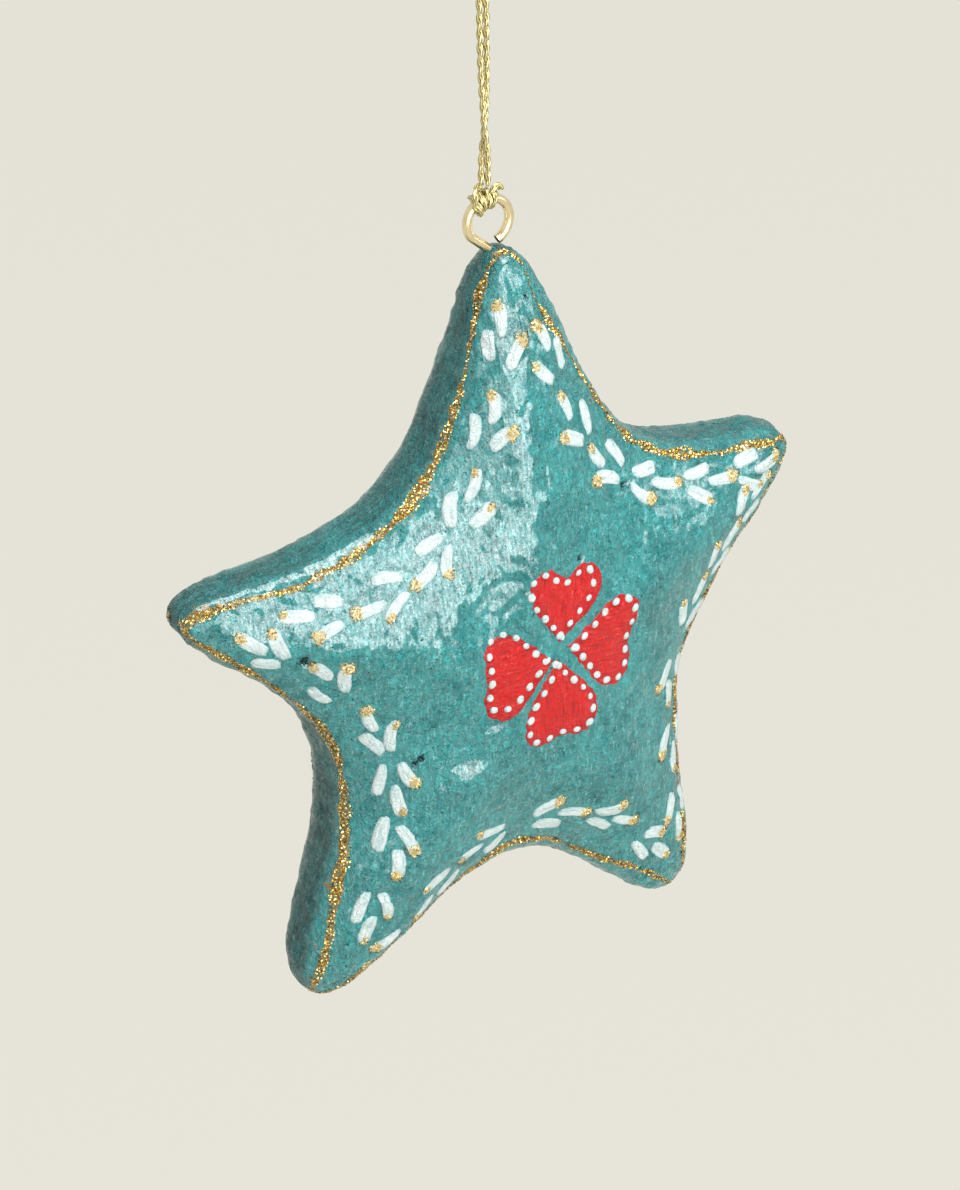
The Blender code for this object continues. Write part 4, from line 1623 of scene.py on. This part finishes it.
@dataclass
class RimGlitter:
    """Glitter along a rim of the star, on a ragged strip that is removed in the end."""

    form: StarForm
    line: GoldLine
    canvas: Canvas
    side: Side
    columns: int = 760
    shares: tuple[float, ...] = (-1.0, -0.35, 0.35, 1.0)
    row_step: float = 0.1
    stray: float = 0.5 * MM
    stray_size: float = 2.0 * MM
    lift: float = 0.07 * MM
    per_square_mm: float = 22.0
    seed: int = 11

    def _strip(self, material: bpy.types.Material) -> bpy.types.Object:
        """Ragged strip that the flakes lie on.

        Args:
            material: Any finish, since the strip is removed.

        Returns:
            The strip.
        """
        around = self.form.even_columns(self.columns)
        rows = self.line.row(around, self.side)
        middles = self.form.surface(around, rows, self.side)
        inner = self.form.surface(around, rows + self.row_step, self.side)
        across_count = len(self.shares)
        vertices, faces = [], []
        for k in range(self.columns):
            middle = Vector(middles[k])
            across = (Vector(inner[k]) - middle).normalized()
            half = self.line.width_at(middle, around[k]) / 2
            strayed = middle + across * self.stray * noise.noise(middle / self.stray_size)
            for share in self.shares:
                point, normal, _, _ = self.canvas.tree.find_nearest(strayed + across * share * half)
                vertices.append(point + normal * self.lift)
            for i in range(across_count - 1):
                a, b = k * across_count + i, (k + 1) % self.columns * across_count + i
                faces.append((a, b, b + 1, a + 1)[::-self.side.value])
        return new_piece("rim_strip", vertices, faces, material)

    def build(self, scatter: GlitterScatter, material: bpy.types.Material) -> bpy.types.Object:
        """Scatter the flakes.

        Args:
            scatter: Scatters them.
            material: Any finish for the strip that they lie on.

        Returns:
            The piece.
        """
        strip = self._strip(material)
        glitter = Glitter(self.per_square_mm, self.seed + self.side.value)
        piece = scatter.scatter(f"{self.side.name.lower()}_rim_glitter", strip, glitter)
        bpy.data.objects.remove(strip)
        return piece


@dataclass
class LeafGlitter:
    """Dabs of glue and gold glitter on the leaves' ends."""

    canvas: Canvas
    size: float = 2.6 * MM
    stretch: float = 1.15
    thickness: float = 0.21 * MM
    size_shares: tuple[float, float] = (0.70, 1.20)
    edge_shares: tuple[float, float] = (0.72, 1.10)
    outline_points: int = 12
    glitter: Glitter = Glitter(20.0, 31)
    seed: int = 21

    def build(self, ends: Sequence[tuple[Spot, Vector]], scatter: GlitterScatter,
              material: bpy.types.Material) -> list[bpy.types.Object]:
        """Make ragged dabs of glue and scatter the flakes over them.

        Args:
            ends: Spot and heading of each dab.
            scatter: Scatters the flakes.
            material: Finish of the glue.

        Returns:
            The flakes and the dabs.
        """
        chance = random.Random(self.seed)
        layer = PaintLayer(self.canvas, self.thickness, rings=2)
        for spot, heading in ends:
            size = self.size * chance.uniform(*self.size_shares)
            outline = []
            for k in range(self.outline_points):
                turn = 2.0 * pi * k / self.outline_points
                radius = size / 2 * chance.uniform(*self.edge_shares)
                outline.append((radius * cos(turn) * self.stretch, radius * sin(turn)))
            layer.stroke(spot, heading, outline)
        dabs = layer.piece("glue_dabs", material)
        return [scatter.scatter("leaf_glitter", dabs, self.glitter), dabs]


def smooth_path(points: Sequence[Vector], step: float) -> list[Vector]:
    """Points about a step apart on a smooth curve through given points.

    Args:
        points: Points that the curve goes through.
        step: Spacing wanted.

    Returns:
        Points on the curve.
    """
    path = []
    for i, (start, end) in enumerate(zip(points, points[1:])):
        before, after = points[max(i - 1, 0)], points[min(i + 2, len(points) - 1)]
        pieces = max(1, round((end - start).length / step))
        path += [curve_point(before, start, end, after, k / pieces) for k in range(pieces)]
    path.append(points[-1].copy())
    return path


def resample(points: Sequence[Vector], step: float) -> list[Vector]:
    """Points evenly far apart along a polyline.

    Args:
        points: The polyline.
        step: Spacing wanted.

    Returns:
        The new points, with both ends kept.
    """
    line = np.array([tuple(point) for point in points])
    length = lengths_along(line)
    wanted = np.linspace(0.0, length[-1], max(2, round(length[-1] / step)) + 1)
    columns = [np.interp(wanted, length, line[:, i]) for i in range(3)]
    return [Vector(point) for point in np.stack(columns, axis=1)]


def frames_along(path: Sequence[Vector]) -> list[tuple[Vector, Vector]]:
    """Two unit vectors across a path at each of its points, with no twist.

    Args:
        path: Points of the path.

    Returns:
        The two vectors at each point.
    """
    frames = []
    across = None
    for i in range(len(path)):
        ahead = (path[min(i + 1, len(path) - 1)] - path[max(i - 1, 0)]).normalized()
        if across is None:
            across = ahead.orthogonal().normalized()
        across = (across - ahead * across.dot(ahead)).normalized()
        frames.append((across, ahead.cross(across)))
    return frames


@dataclass
class Tubes:
    """Tubes along paths, closed at both ends, with the length and share of a turn at each vertex."""

    radius: float
    sides: int
    vertices: list[Vector] = field(default_factory=list)
    faces: list[tuple[int, ...]] = field(default_factory=list)
    lengths: list[float] = field(default_factory=list)
    turns: list[float] = field(default_factory=list)

    def add(self, path: Sequence[Vector]) -> None:
        """Add a tube along a path.

        Args:
            path: Points of its centreline.
        """
        base, sides = len(self.vertices), self.sides
        travelled = 0.0
        for i, (point, (across, up)) in enumerate(zip(path, frames_along(path))):
            travelled += (point - path[i - 1]).length if i else 0.0
            for k in range(sides):
                turn = 2 * pi * k / sides
                self.vertices.append(point + (across * cos(turn) + up * sin(turn)) * self.radius)
                self.lengths.append(travelled)
                self.turns.append(k / sides)
        for a in range(base, base + (len(path) - 1) * sides, sides):
            for k in range(sides):
                j = (k + 1) % sides
                self.faces.append((a + k, a + j, a + sides + j, a + sides + k))
        last = len(self.vertices) - sides
        self.faces.append(tuple(base + k for k in reversed(range(sides))))
        self.faces.append(tuple(last + k for k in range(sides)))


@dataclass(frozen=True)
class LaidCord:
    """Cord laid from two plies that wind round each other along a line."""

    diameter: float = 0.98 * MM
    ply_share: float = 0.58
    lay_length: float = 4.2 * MM
    step: float = 0.22 * MM
    ply_sides: int = 9

    def plies(self, line: Sequence[Vector]) -> list[list[Vector]]:
        """Centrelines of the two plies.

        Args:
            line: The cord's centreline.

        Returns:
            One path for each ply.
        """
        offset = self.diameter / 2 - self.diameter * self.ply_share / 2
        paths: list[list[Vector]] = [[], []]
        travelled = 0.0
        for i, (point, (across, up)) in enumerate(zip(line, frames_along(line))):
            travelled += (point - line[i - 1]).length if i else 0.0
            for ply, path in enumerate(paths):
                turn = 2 * pi * (travelled / self.lay_length + ply / 2)
                path.append(point + (across * cos(turn) + up * sin(turn)) * offset)
        return paths

    def mesh(self, name: str, paths: Sequence[Sequence[Vector]],
             material: bpy.types.Material) -> bpy.types.Object:
        """Make the plies.

        Args:
            name: Piece's name.
            paths: Centreline of each ply.
            material: The yarn.

        Returns:
            The piece.
        """
        tubes = Tubes(self.diameter * self.ply_share / 2, self.ply_sides)
        for path in paths:
            tubes.add(path)
        piece = new_piece(name, tubes.vertices, tubes.faces, material)
        uv = piece.data.uv_layers.new(name="yarn")
        last = (self.ply_sides - 1) / self.ply_sides
        for polygon in piece.data.polygons:
            wraps = len(polygon.vertices) == 4 and last in (tubes.turns[v] for v in polygon.vertices)
            for corner in polygon.loop_indices:
                vertex = piece.data.loops[corner].vertex_index
                turn = tubes.turns[vertex] or (1.0 if wraps else 0.0)
                uv.data[corner].uv = (tubes.lengths[vertex] / MM, turn)
        return piece


@dataclass
class HangingCord:
    """Cord from its knot up the right leg, over the hanging point and down the left leg.

    Each leg turns about the cord's line as it goes up: heights over its foot, with degrees.
    """

    laid: LaidCord = LaidCord()
    spread: float = 0.46 * MM
    lean: float = -0.28 * MM
    foot_lean: float = -0.22 * MM
    foot_lean_height: float = 7.0 * MM
    lift: float = 57.0 * MM
    foot_rise: float = 2.0 * MM
    loop_height: float = 11.0 * MM
    loop_radius: float = 2.6 * MM
    loop_steps: int = 12
    point_step: float = 2.4 * MM
    straight_share: float = 0.18
    shoulder_width: float = 0.62
    shoulder_drop: float = 0.40
    twist_over: float = 2.0 * MM
    twist_under: float = 9.0 * MM
    turn_by_height: Pairs = (
        (0.0, -22.0),
        (2.8 * MM, -28.0),
        (5.1 * MM, -70.0),
        (8.4 * MM, -120.0),
        (13.6 * MM, -160.0),
        (19.6 * MM, -195.0),
        (28.6 * MM, -205.0),
        (37.6 * MM, -188.0),
        (44.0 * MM, -180.0),
    )

    def _leg(self, start: float) -> list[Vector]:
        """Points of one leg from its foot over the ring up to the loop.

        Args:
            start: 0 for the right leg and 180 for the left one, in degrees about the cord's line.

        Returns:
            Points in the row frame.
        """
        foot = Vector((0.0, 0.0, self.foot_rise - self.lift))
        points = []
        for height, angle in self.turn_by_height:
            around = radians(angle + start)
            lean = self.lean + self.foot_lean * max(0.0, 1.0 - height / self.foot_lean_height)
            place = Vector((lean + self.spread * cos(around), self.spread * sin(around), height))
            points.append(foot + place)
        return smooth_path(points, self.point_step)

    def _loop(self) -> list[Vector]:
        """Points of the loop, from over the right leg to over the left one."""
        arch_height = self.laid.diameter / 2 - self.loop_radius
        top = self._leg(0.0)[-1]
        side = 1.0 if top.x > self.lean else -1.0
        rise = self.loop_height + arch_height
        shoulder = side * self.shoulder_width * self.loop_radius
        right = [
            Vector((top.x, top.y, -self.loop_height)),
            Vector((top.x, top.y, -self.loop_height + self.straight_share * rise)),
            Vector((shoulder, 0.0, arch_height - self.shoulder_drop * rise)),
        ]
        left = [Vector((-right[2].x, -right[2].y, right[2].z))]
        left += [Vector((2 * self.lean - point.x, -point.y, point.z)) for point in right[1::-1]]
        arch = []
        for i in range(self.loop_steps + 1):
            around = pi * i / self.loop_steps
            across, up = side * self.loop_radius * cos(around), self.loop_radius * sin(around)
            arch.append(Vector((across, 0.0, arch_height + up)))
        return (smooth_path(right + arch[:1], self.point_step)[:-1] + arch[:-1]
                + smooth_path(arch[-1:] + left, self.point_step))

    def line(self) -> list[Vector]:
        """Centreline of the whole cord, from the right foot to the left one."""
        route = self._leg(0.0) + self._loop() + self._leg(180.0)[::-1]
        return resample(smooth_path(route, self.laid.step), self.laid.step)

    def build(self, material: bpy.types.Material, knot: bpy.types.Object) -> bpy.types.Object:
        """Make the cord, whose feet end among the turns of its knot.

        Args:
            material: The yarn.
            knot: The knot at its foot; not used.

        Returns:
            The piece.
        """
        path = self.line()
        piece = self.laid.mesh("gold_cord", self.laid.plies(path), material)
        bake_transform(piece)
        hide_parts("cord_leg_right", "cord_top_loop", "cord_leg_left")
        return piece


@dataclass(frozen=True)
class Winding:
    """Cord wound round the ring's wire.

    It has its height over the wire in halves of the cord, its number of turns, the places on the
    ring where it starts and ends, and the place round the wire where it starts, all in degrees.
    Round the wire, 0 is on the outside and 90 in front.
    """

    height: float
    turns: float
    first: float
    last: float
    start: float


@dataclass
class Knot:
    """Foot of the cord: it winds round the ring's wire side by side, and a frayed tail sticks out.

    The tail's places are in millimetres from the wire's top.
    """

    cord: HangingCord
    wire: float = 1.4 * MM
    ring_radius: float = 3.4 * MM
    clearance: float = 0.03 * MM
    wound: Winding = Winding(1.0, 3.5, 78.0, 129.0, -20.0)
    over: Winding = Winding(2.8, 0.12, 106.0, 121.0, -6.0)
    tucked: Winding = Winding(1.3, 0.34, 131.0, 135.0, 60.0)
    tail: tuple[Triple, ...] = (
        (0.20, -0.55, 0.9),
        (0.60, -0.70, 1.55),
        (1.20, -0.60, 1.75),
        (1.75, -0.45, 1.45),
        (1.90, -0.40, 1.05),
    )
    steps: int = 26

    def _points(self, winding: Winding) -> list[Vector]:
        """Points of a winding.

        Args:
            winding: The winding.

        Returns:
            Points in the row frame.
        """
        radius = self.wire / 2 + self.clearance + self.cord.laid.diameter / 2 * winding.height
        centre = Vector((0.0, 0.0, -self.cord.lift - self.ring_radius))
        count = max(3, round(self.steps * winding.turns))
        points = []
        for i in range(count + 1):
            share = i / count
            out = direction(winding.first + (winding.last - winding.first) * share)
            turn = radians(winding.start + 360.0 * winding.turns * share)
            points.append(centre + out * (self.ring_radius + radius * cos(turn))
                          - Vector((0.0, radius * sin(turn), 0.0)))
        return points

    def build(self, material: bpy.types.Material) -> bpy.types.Object:
        """Make the turns round the wire, the left leg's end tucked under them, and the frayed tail.

        Args:
            material: The yarn.

        Returns:
            The piece.
        """
        laid = self.cord.laid
        top = Vector((0.0, 0.0, -self.cord.lift))
        tucked = [self.cord.line()[-1], *self._points(self.over), *self._points(self.tucked)]
        tail = [top + Vector(bend) * MM for bend in self.tail]
        paths = []
        for strand in (self._points(self.wound), tucked, tail):
            paths += laid.plies(resample(smooth_path(strand, laid.step), laid.step))
        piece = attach(laid.mesh("cord_knot", paths, material), "hitch")
        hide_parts("cord_hitch")
        return piece


@dataclass
class ScrewEye:
    """Brass wire eye with its shank in the plug and a sharp edge round the wire's cut end."""

    ring_centre: Vector
    wire: float = 1.4 * MM
    ring_radius: float = 3.4 * MM
    neck_rise: float = 0.5 * MM
    shank_length: float = 17.0 * MM
    point_length: float = 2.0 * MM
    point_share: float = 0.25
    bend_rise: float = 0.35 * MM
    start_angle: float = 212.0
    end_angle: float = -66.0
    cut_share: float = 0.80
    sharp_angle: float = 50.0
    steps: int = 60
    sides: int = 24

    def build(self, material: bpy.types.Material) -> bpy.types.Object:
        """Make the wire.

        Args:
            material: Its plating.

        Returns:
            The piece.
        """
        neck = -(self.ring_radius + self.wire / 2 + self.neck_rise)
        bottom = neck - self.shank_length
        heights = (bottom, bottom + self.point_length, (neck + bottom) / 2, neck, neck + self.bend_rise)
        stem = [Vector((0.0, 0.0, height)) for height in heights]
        turn = self.start_angle - self.end_angle
        ring = [direction(self.start_angle - turn * i / self.steps) * self.ring_radius
                for i in range(self.steps + 1)]
        path = [point + self.ring_centre for point in smooth_path(stem + ring[:1], self.wire / 3)[:-1] + ring]
        wire = Tubes(self.wire / 2, self.sides)
        wire.add(path)
        vertices, faces = wire.vertices, wire.faces
        for k, vertex in enumerate(vertices):
            grown = wire.lengths[k] / self.point_length * (1.0 - self.point_share)
            share = min(1.0, self.point_share + grown)
            axis = path[k // self.sides]
            vertices[k] = axis + (vertex - axis) * share
        inner = len(vertices)
        end = inner - self.sides
        vertices += [path[-1] + (vertex - path[-1]) * self.cut_share for vertex in vertices[end:]]
        faces[-1] = tuple(inner + k for k in range(self.sides))
        for k in range(self.sides):
            j = (k + 1) % self.sides
            faces.append((end + k, end + j, inner + j, inner + k))
        cut = [0.0] * inner + [1.0] * self.sides
        piece = new_piece("brass_eye", vertices, faces, material, {"cut_end": cut})
        piece.data.set_sharp_from_angle(angle=radians(self.sharp_angle))
        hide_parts("screw_eye")
        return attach(piece, "star")


@dataclass(frozen=True)
class Lamp:
    """A soft lamp that faces the star: place round it in degrees, distance, size and power in watts."""

    name: str
    azimuth: float
    elevation: float
    distance: float
    width: float
    height: float
    power: float

    def light(self, target: Vector) -> None:
        """Put the lamp in place and aim it.

        Args:
            target: Point that it faces.
        """
        data = bpy.data.lights.new(self.name, "AREA")
        data.shape = "ELLIPSE"
        data.size, data.size_y = self.width, self.height
        data.energy = self.power
        away = view_from(self.azimuth, self.elevation)
        lamp = place_object(self.name, data)
        lamp.location = target + away * self.distance
        lamp.rotation_mode = "QUATERNION"
        lamp.rotation_quaternion = (-away).to_track_quat("-Z", "Y")


@dataclass
class Studio:
    """Camera, soft lamps, floor and backdrop of the photograph."""

    target: Vector
    azimuth: float = -30.53
    elevation: float = 27.35
    roll: float = -0.98
    distance: float = 750.0 * MM
    sensor: float = 36.0
    image: tuple[int, int] = (960, 1190)
    pixels_per_mm: float = 6.928
    centre_pixel: tuple[float, float] = (496.9, 635.3)
    floor_drop: float = 420.0 * MM
    floor_size: float = 14.0
    dim: Triple = (0.10, 0.10, 0.095)
    bright: Triple = (0.95, 0.97, 1.0)
    left_share: float = 0.48
    right_share: float = 0.72
    room_strength: float = 0.50
    shown_strength: float = 0.97
    lamps: tuple[Lamp, ...] = (
        Lamp("key", 4.5, 16.0, 0.95, 0.70, 1.16, 9.0),
        Lamp("left", -28.0, 6.0, 0.95, 0.54, 0.66, 1.4),
        Lamp("top", 10.0, 78.0, 1.0, 0.8, 0.8, 9.8),
        Lamp("side", 48.0, 12.0, 1.0, 0.36, 0.28, 0.75),
    )

    def _camera(self) -> None:
        """Place the camera where the photograph was taken from."""
        back = view_from(self.azimuth, self.elevation)
        right = Vector((cos(radians(self.azimuth)), sin(radians(self.azimuth)), 0.0))
        rolled = Matrix.Rotation(radians(self.roll), 3, "Z")
        axes = Matrix((right, back.cross(right), back)).transposed() @ rolled
        data = bpy.data.cameras.new("camera")
        wide = max(self.image)
        data.sensor_width = self.sensor
        data.lens = data.sensor_width * self.pixels_per_mm * self.distance / MM / wide
        data.shift_x = (self.image[0] / 2 - self.centre_pixel[0]) / wide
        data.shift_y = (self.centre_pixel[1] - self.image[1] / 2) / wide
        data.clip_start, data.clip_end = 0.01, 60.0
        camera = place_object("camera", data)
        camera.matrix_world = axes.to_4x4()
        camera.location = self.target + back * self.distance
        bpy.context.scene.camera = camera

    def _world(self) -> None:
        """Light the room from above and from the right, and show the backdrop's colour behind it."""
        world = bpy.data.worlds.new("studio")
        world.use_nodes = True
        world.node_tree.nodes.clear()
        tree = NodeTree(world.node_tree)
        seen_way = tree.add("ShaderNodeTexCoord").outputs["Generated"]
        place = tree.add("ShaderNodeSeparateXYZ", None, {0: seen_way})
        rise = Value(tree, place.outputs["Z"]).step(-0.5, 1.0)
        right = Value(tree, place.outputs["X"]).step(-0.9, 0.5)
        around = tree.mix(rise * (self.left_share + right * self.right_share), self.dim, self.bright)
        lit = tree.add("ShaderNodeBackground", None, {"Color": around, "Strength": self.room_strength})
        shown = tree.add("ShaderNodeBackground", None, {
            "Color": (*PaleBackdrop().colour, 1.0), "Strength": self.shown_strength})
        both = tree.add("ShaderNodeMixShader", None, {0: tree.seen(), 1: lit.outputs[0], 2: shown.outputs[0]})
        tree.add("ShaderNodeOutputWorld", None, {"Surface": both.outputs[0]})
        bpy.context.scene.world = world

    def build(self) -> None:
        """Set up everything."""
        bpy.context.scene.view_settings.view_transform = "Standard"
        self._world()
        half, height = self.floor_size / 2, self.target.z - self.floor_drop
        corners = [(x * half, y * half, height) for x, y in ((-1, -1), (1, -1), (1, 1), (-1, 1))]
        new_piece("floor", corners, [(0, 1, 2, 3)], PaleBackdrop().material())
        for lamp in self.lamps:
            lamp.light(self.target)
        self._camera()


def dress(node: str, material: bpy.types.Material) -> None:
    """Give a CAD node that stays its finish.

    Args:
        node: The node's name.
        material: Its finish.
    """
    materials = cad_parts[node].data.materials
    materials.clear()
    materials.append(material)


def main() -> None:
    """Build every piece and report it."""
    logging.basicConfig(level=logging.INFO, format="%(name)s: %(message)s")
    star = StarForm(Vector((0.29 * MM, 0.0, -125.2 * MM)))
    Studio(star.centre).build()

    thread = GoldThread().material()
    cord = HangingCord()
    knot = Knot(cord).build(thread)
    report(knot)
    report(cord.build(thread, knot))
    report(ScrewEye(Vector((0.0, 0.0, -60.4 * MM))).build(BrassWire().material()))

    line = GoldLine()
    skin = StarSkin(star, line).build(LacqueredPaper().material())
    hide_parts("front_shell", "rear_shell")
    report(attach(skin, "star"))

    canvas = Canvas(skin, star.centre)
    # The third colour of each paint is its painted highlight along the bristle marks.
    white = BrushPaint("white_paint", (0.56, 0.64, 0.63), (0.20, 0.42, 0.42), (0.74, 0.80, 0.78),
                       thin_share=0.60, edge_share=0.5).material()
    red = BrushPaint("red_paint", (0.51, 0.006, 0.006), (0.24, 0.002, 0.005), (0.72, 0.09, 0.08),
                     thin_share=0.8, edge_share=0.3).material()
    leaves, ends = Garland(canvas).build(white)
    painted = [leaves, *Flower(canvas).build(red, white)]
    foil = GlitterFlakes().material()
    scatter = GlitterScatter(foil)
    painted += [RimGlitter(star, line, canvas, side).build(scatter, foil) for side in Side]
    painted += LeafGlitter(canvas).build(ends, scatter, GlueDab().material())
    for piece in painted:
        report(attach(piece, "star"))

    dress("joint_strip", BarePaper().material())
    dress("tip_plug", Softwood().material())


if __name__ == "__main__":
    main()
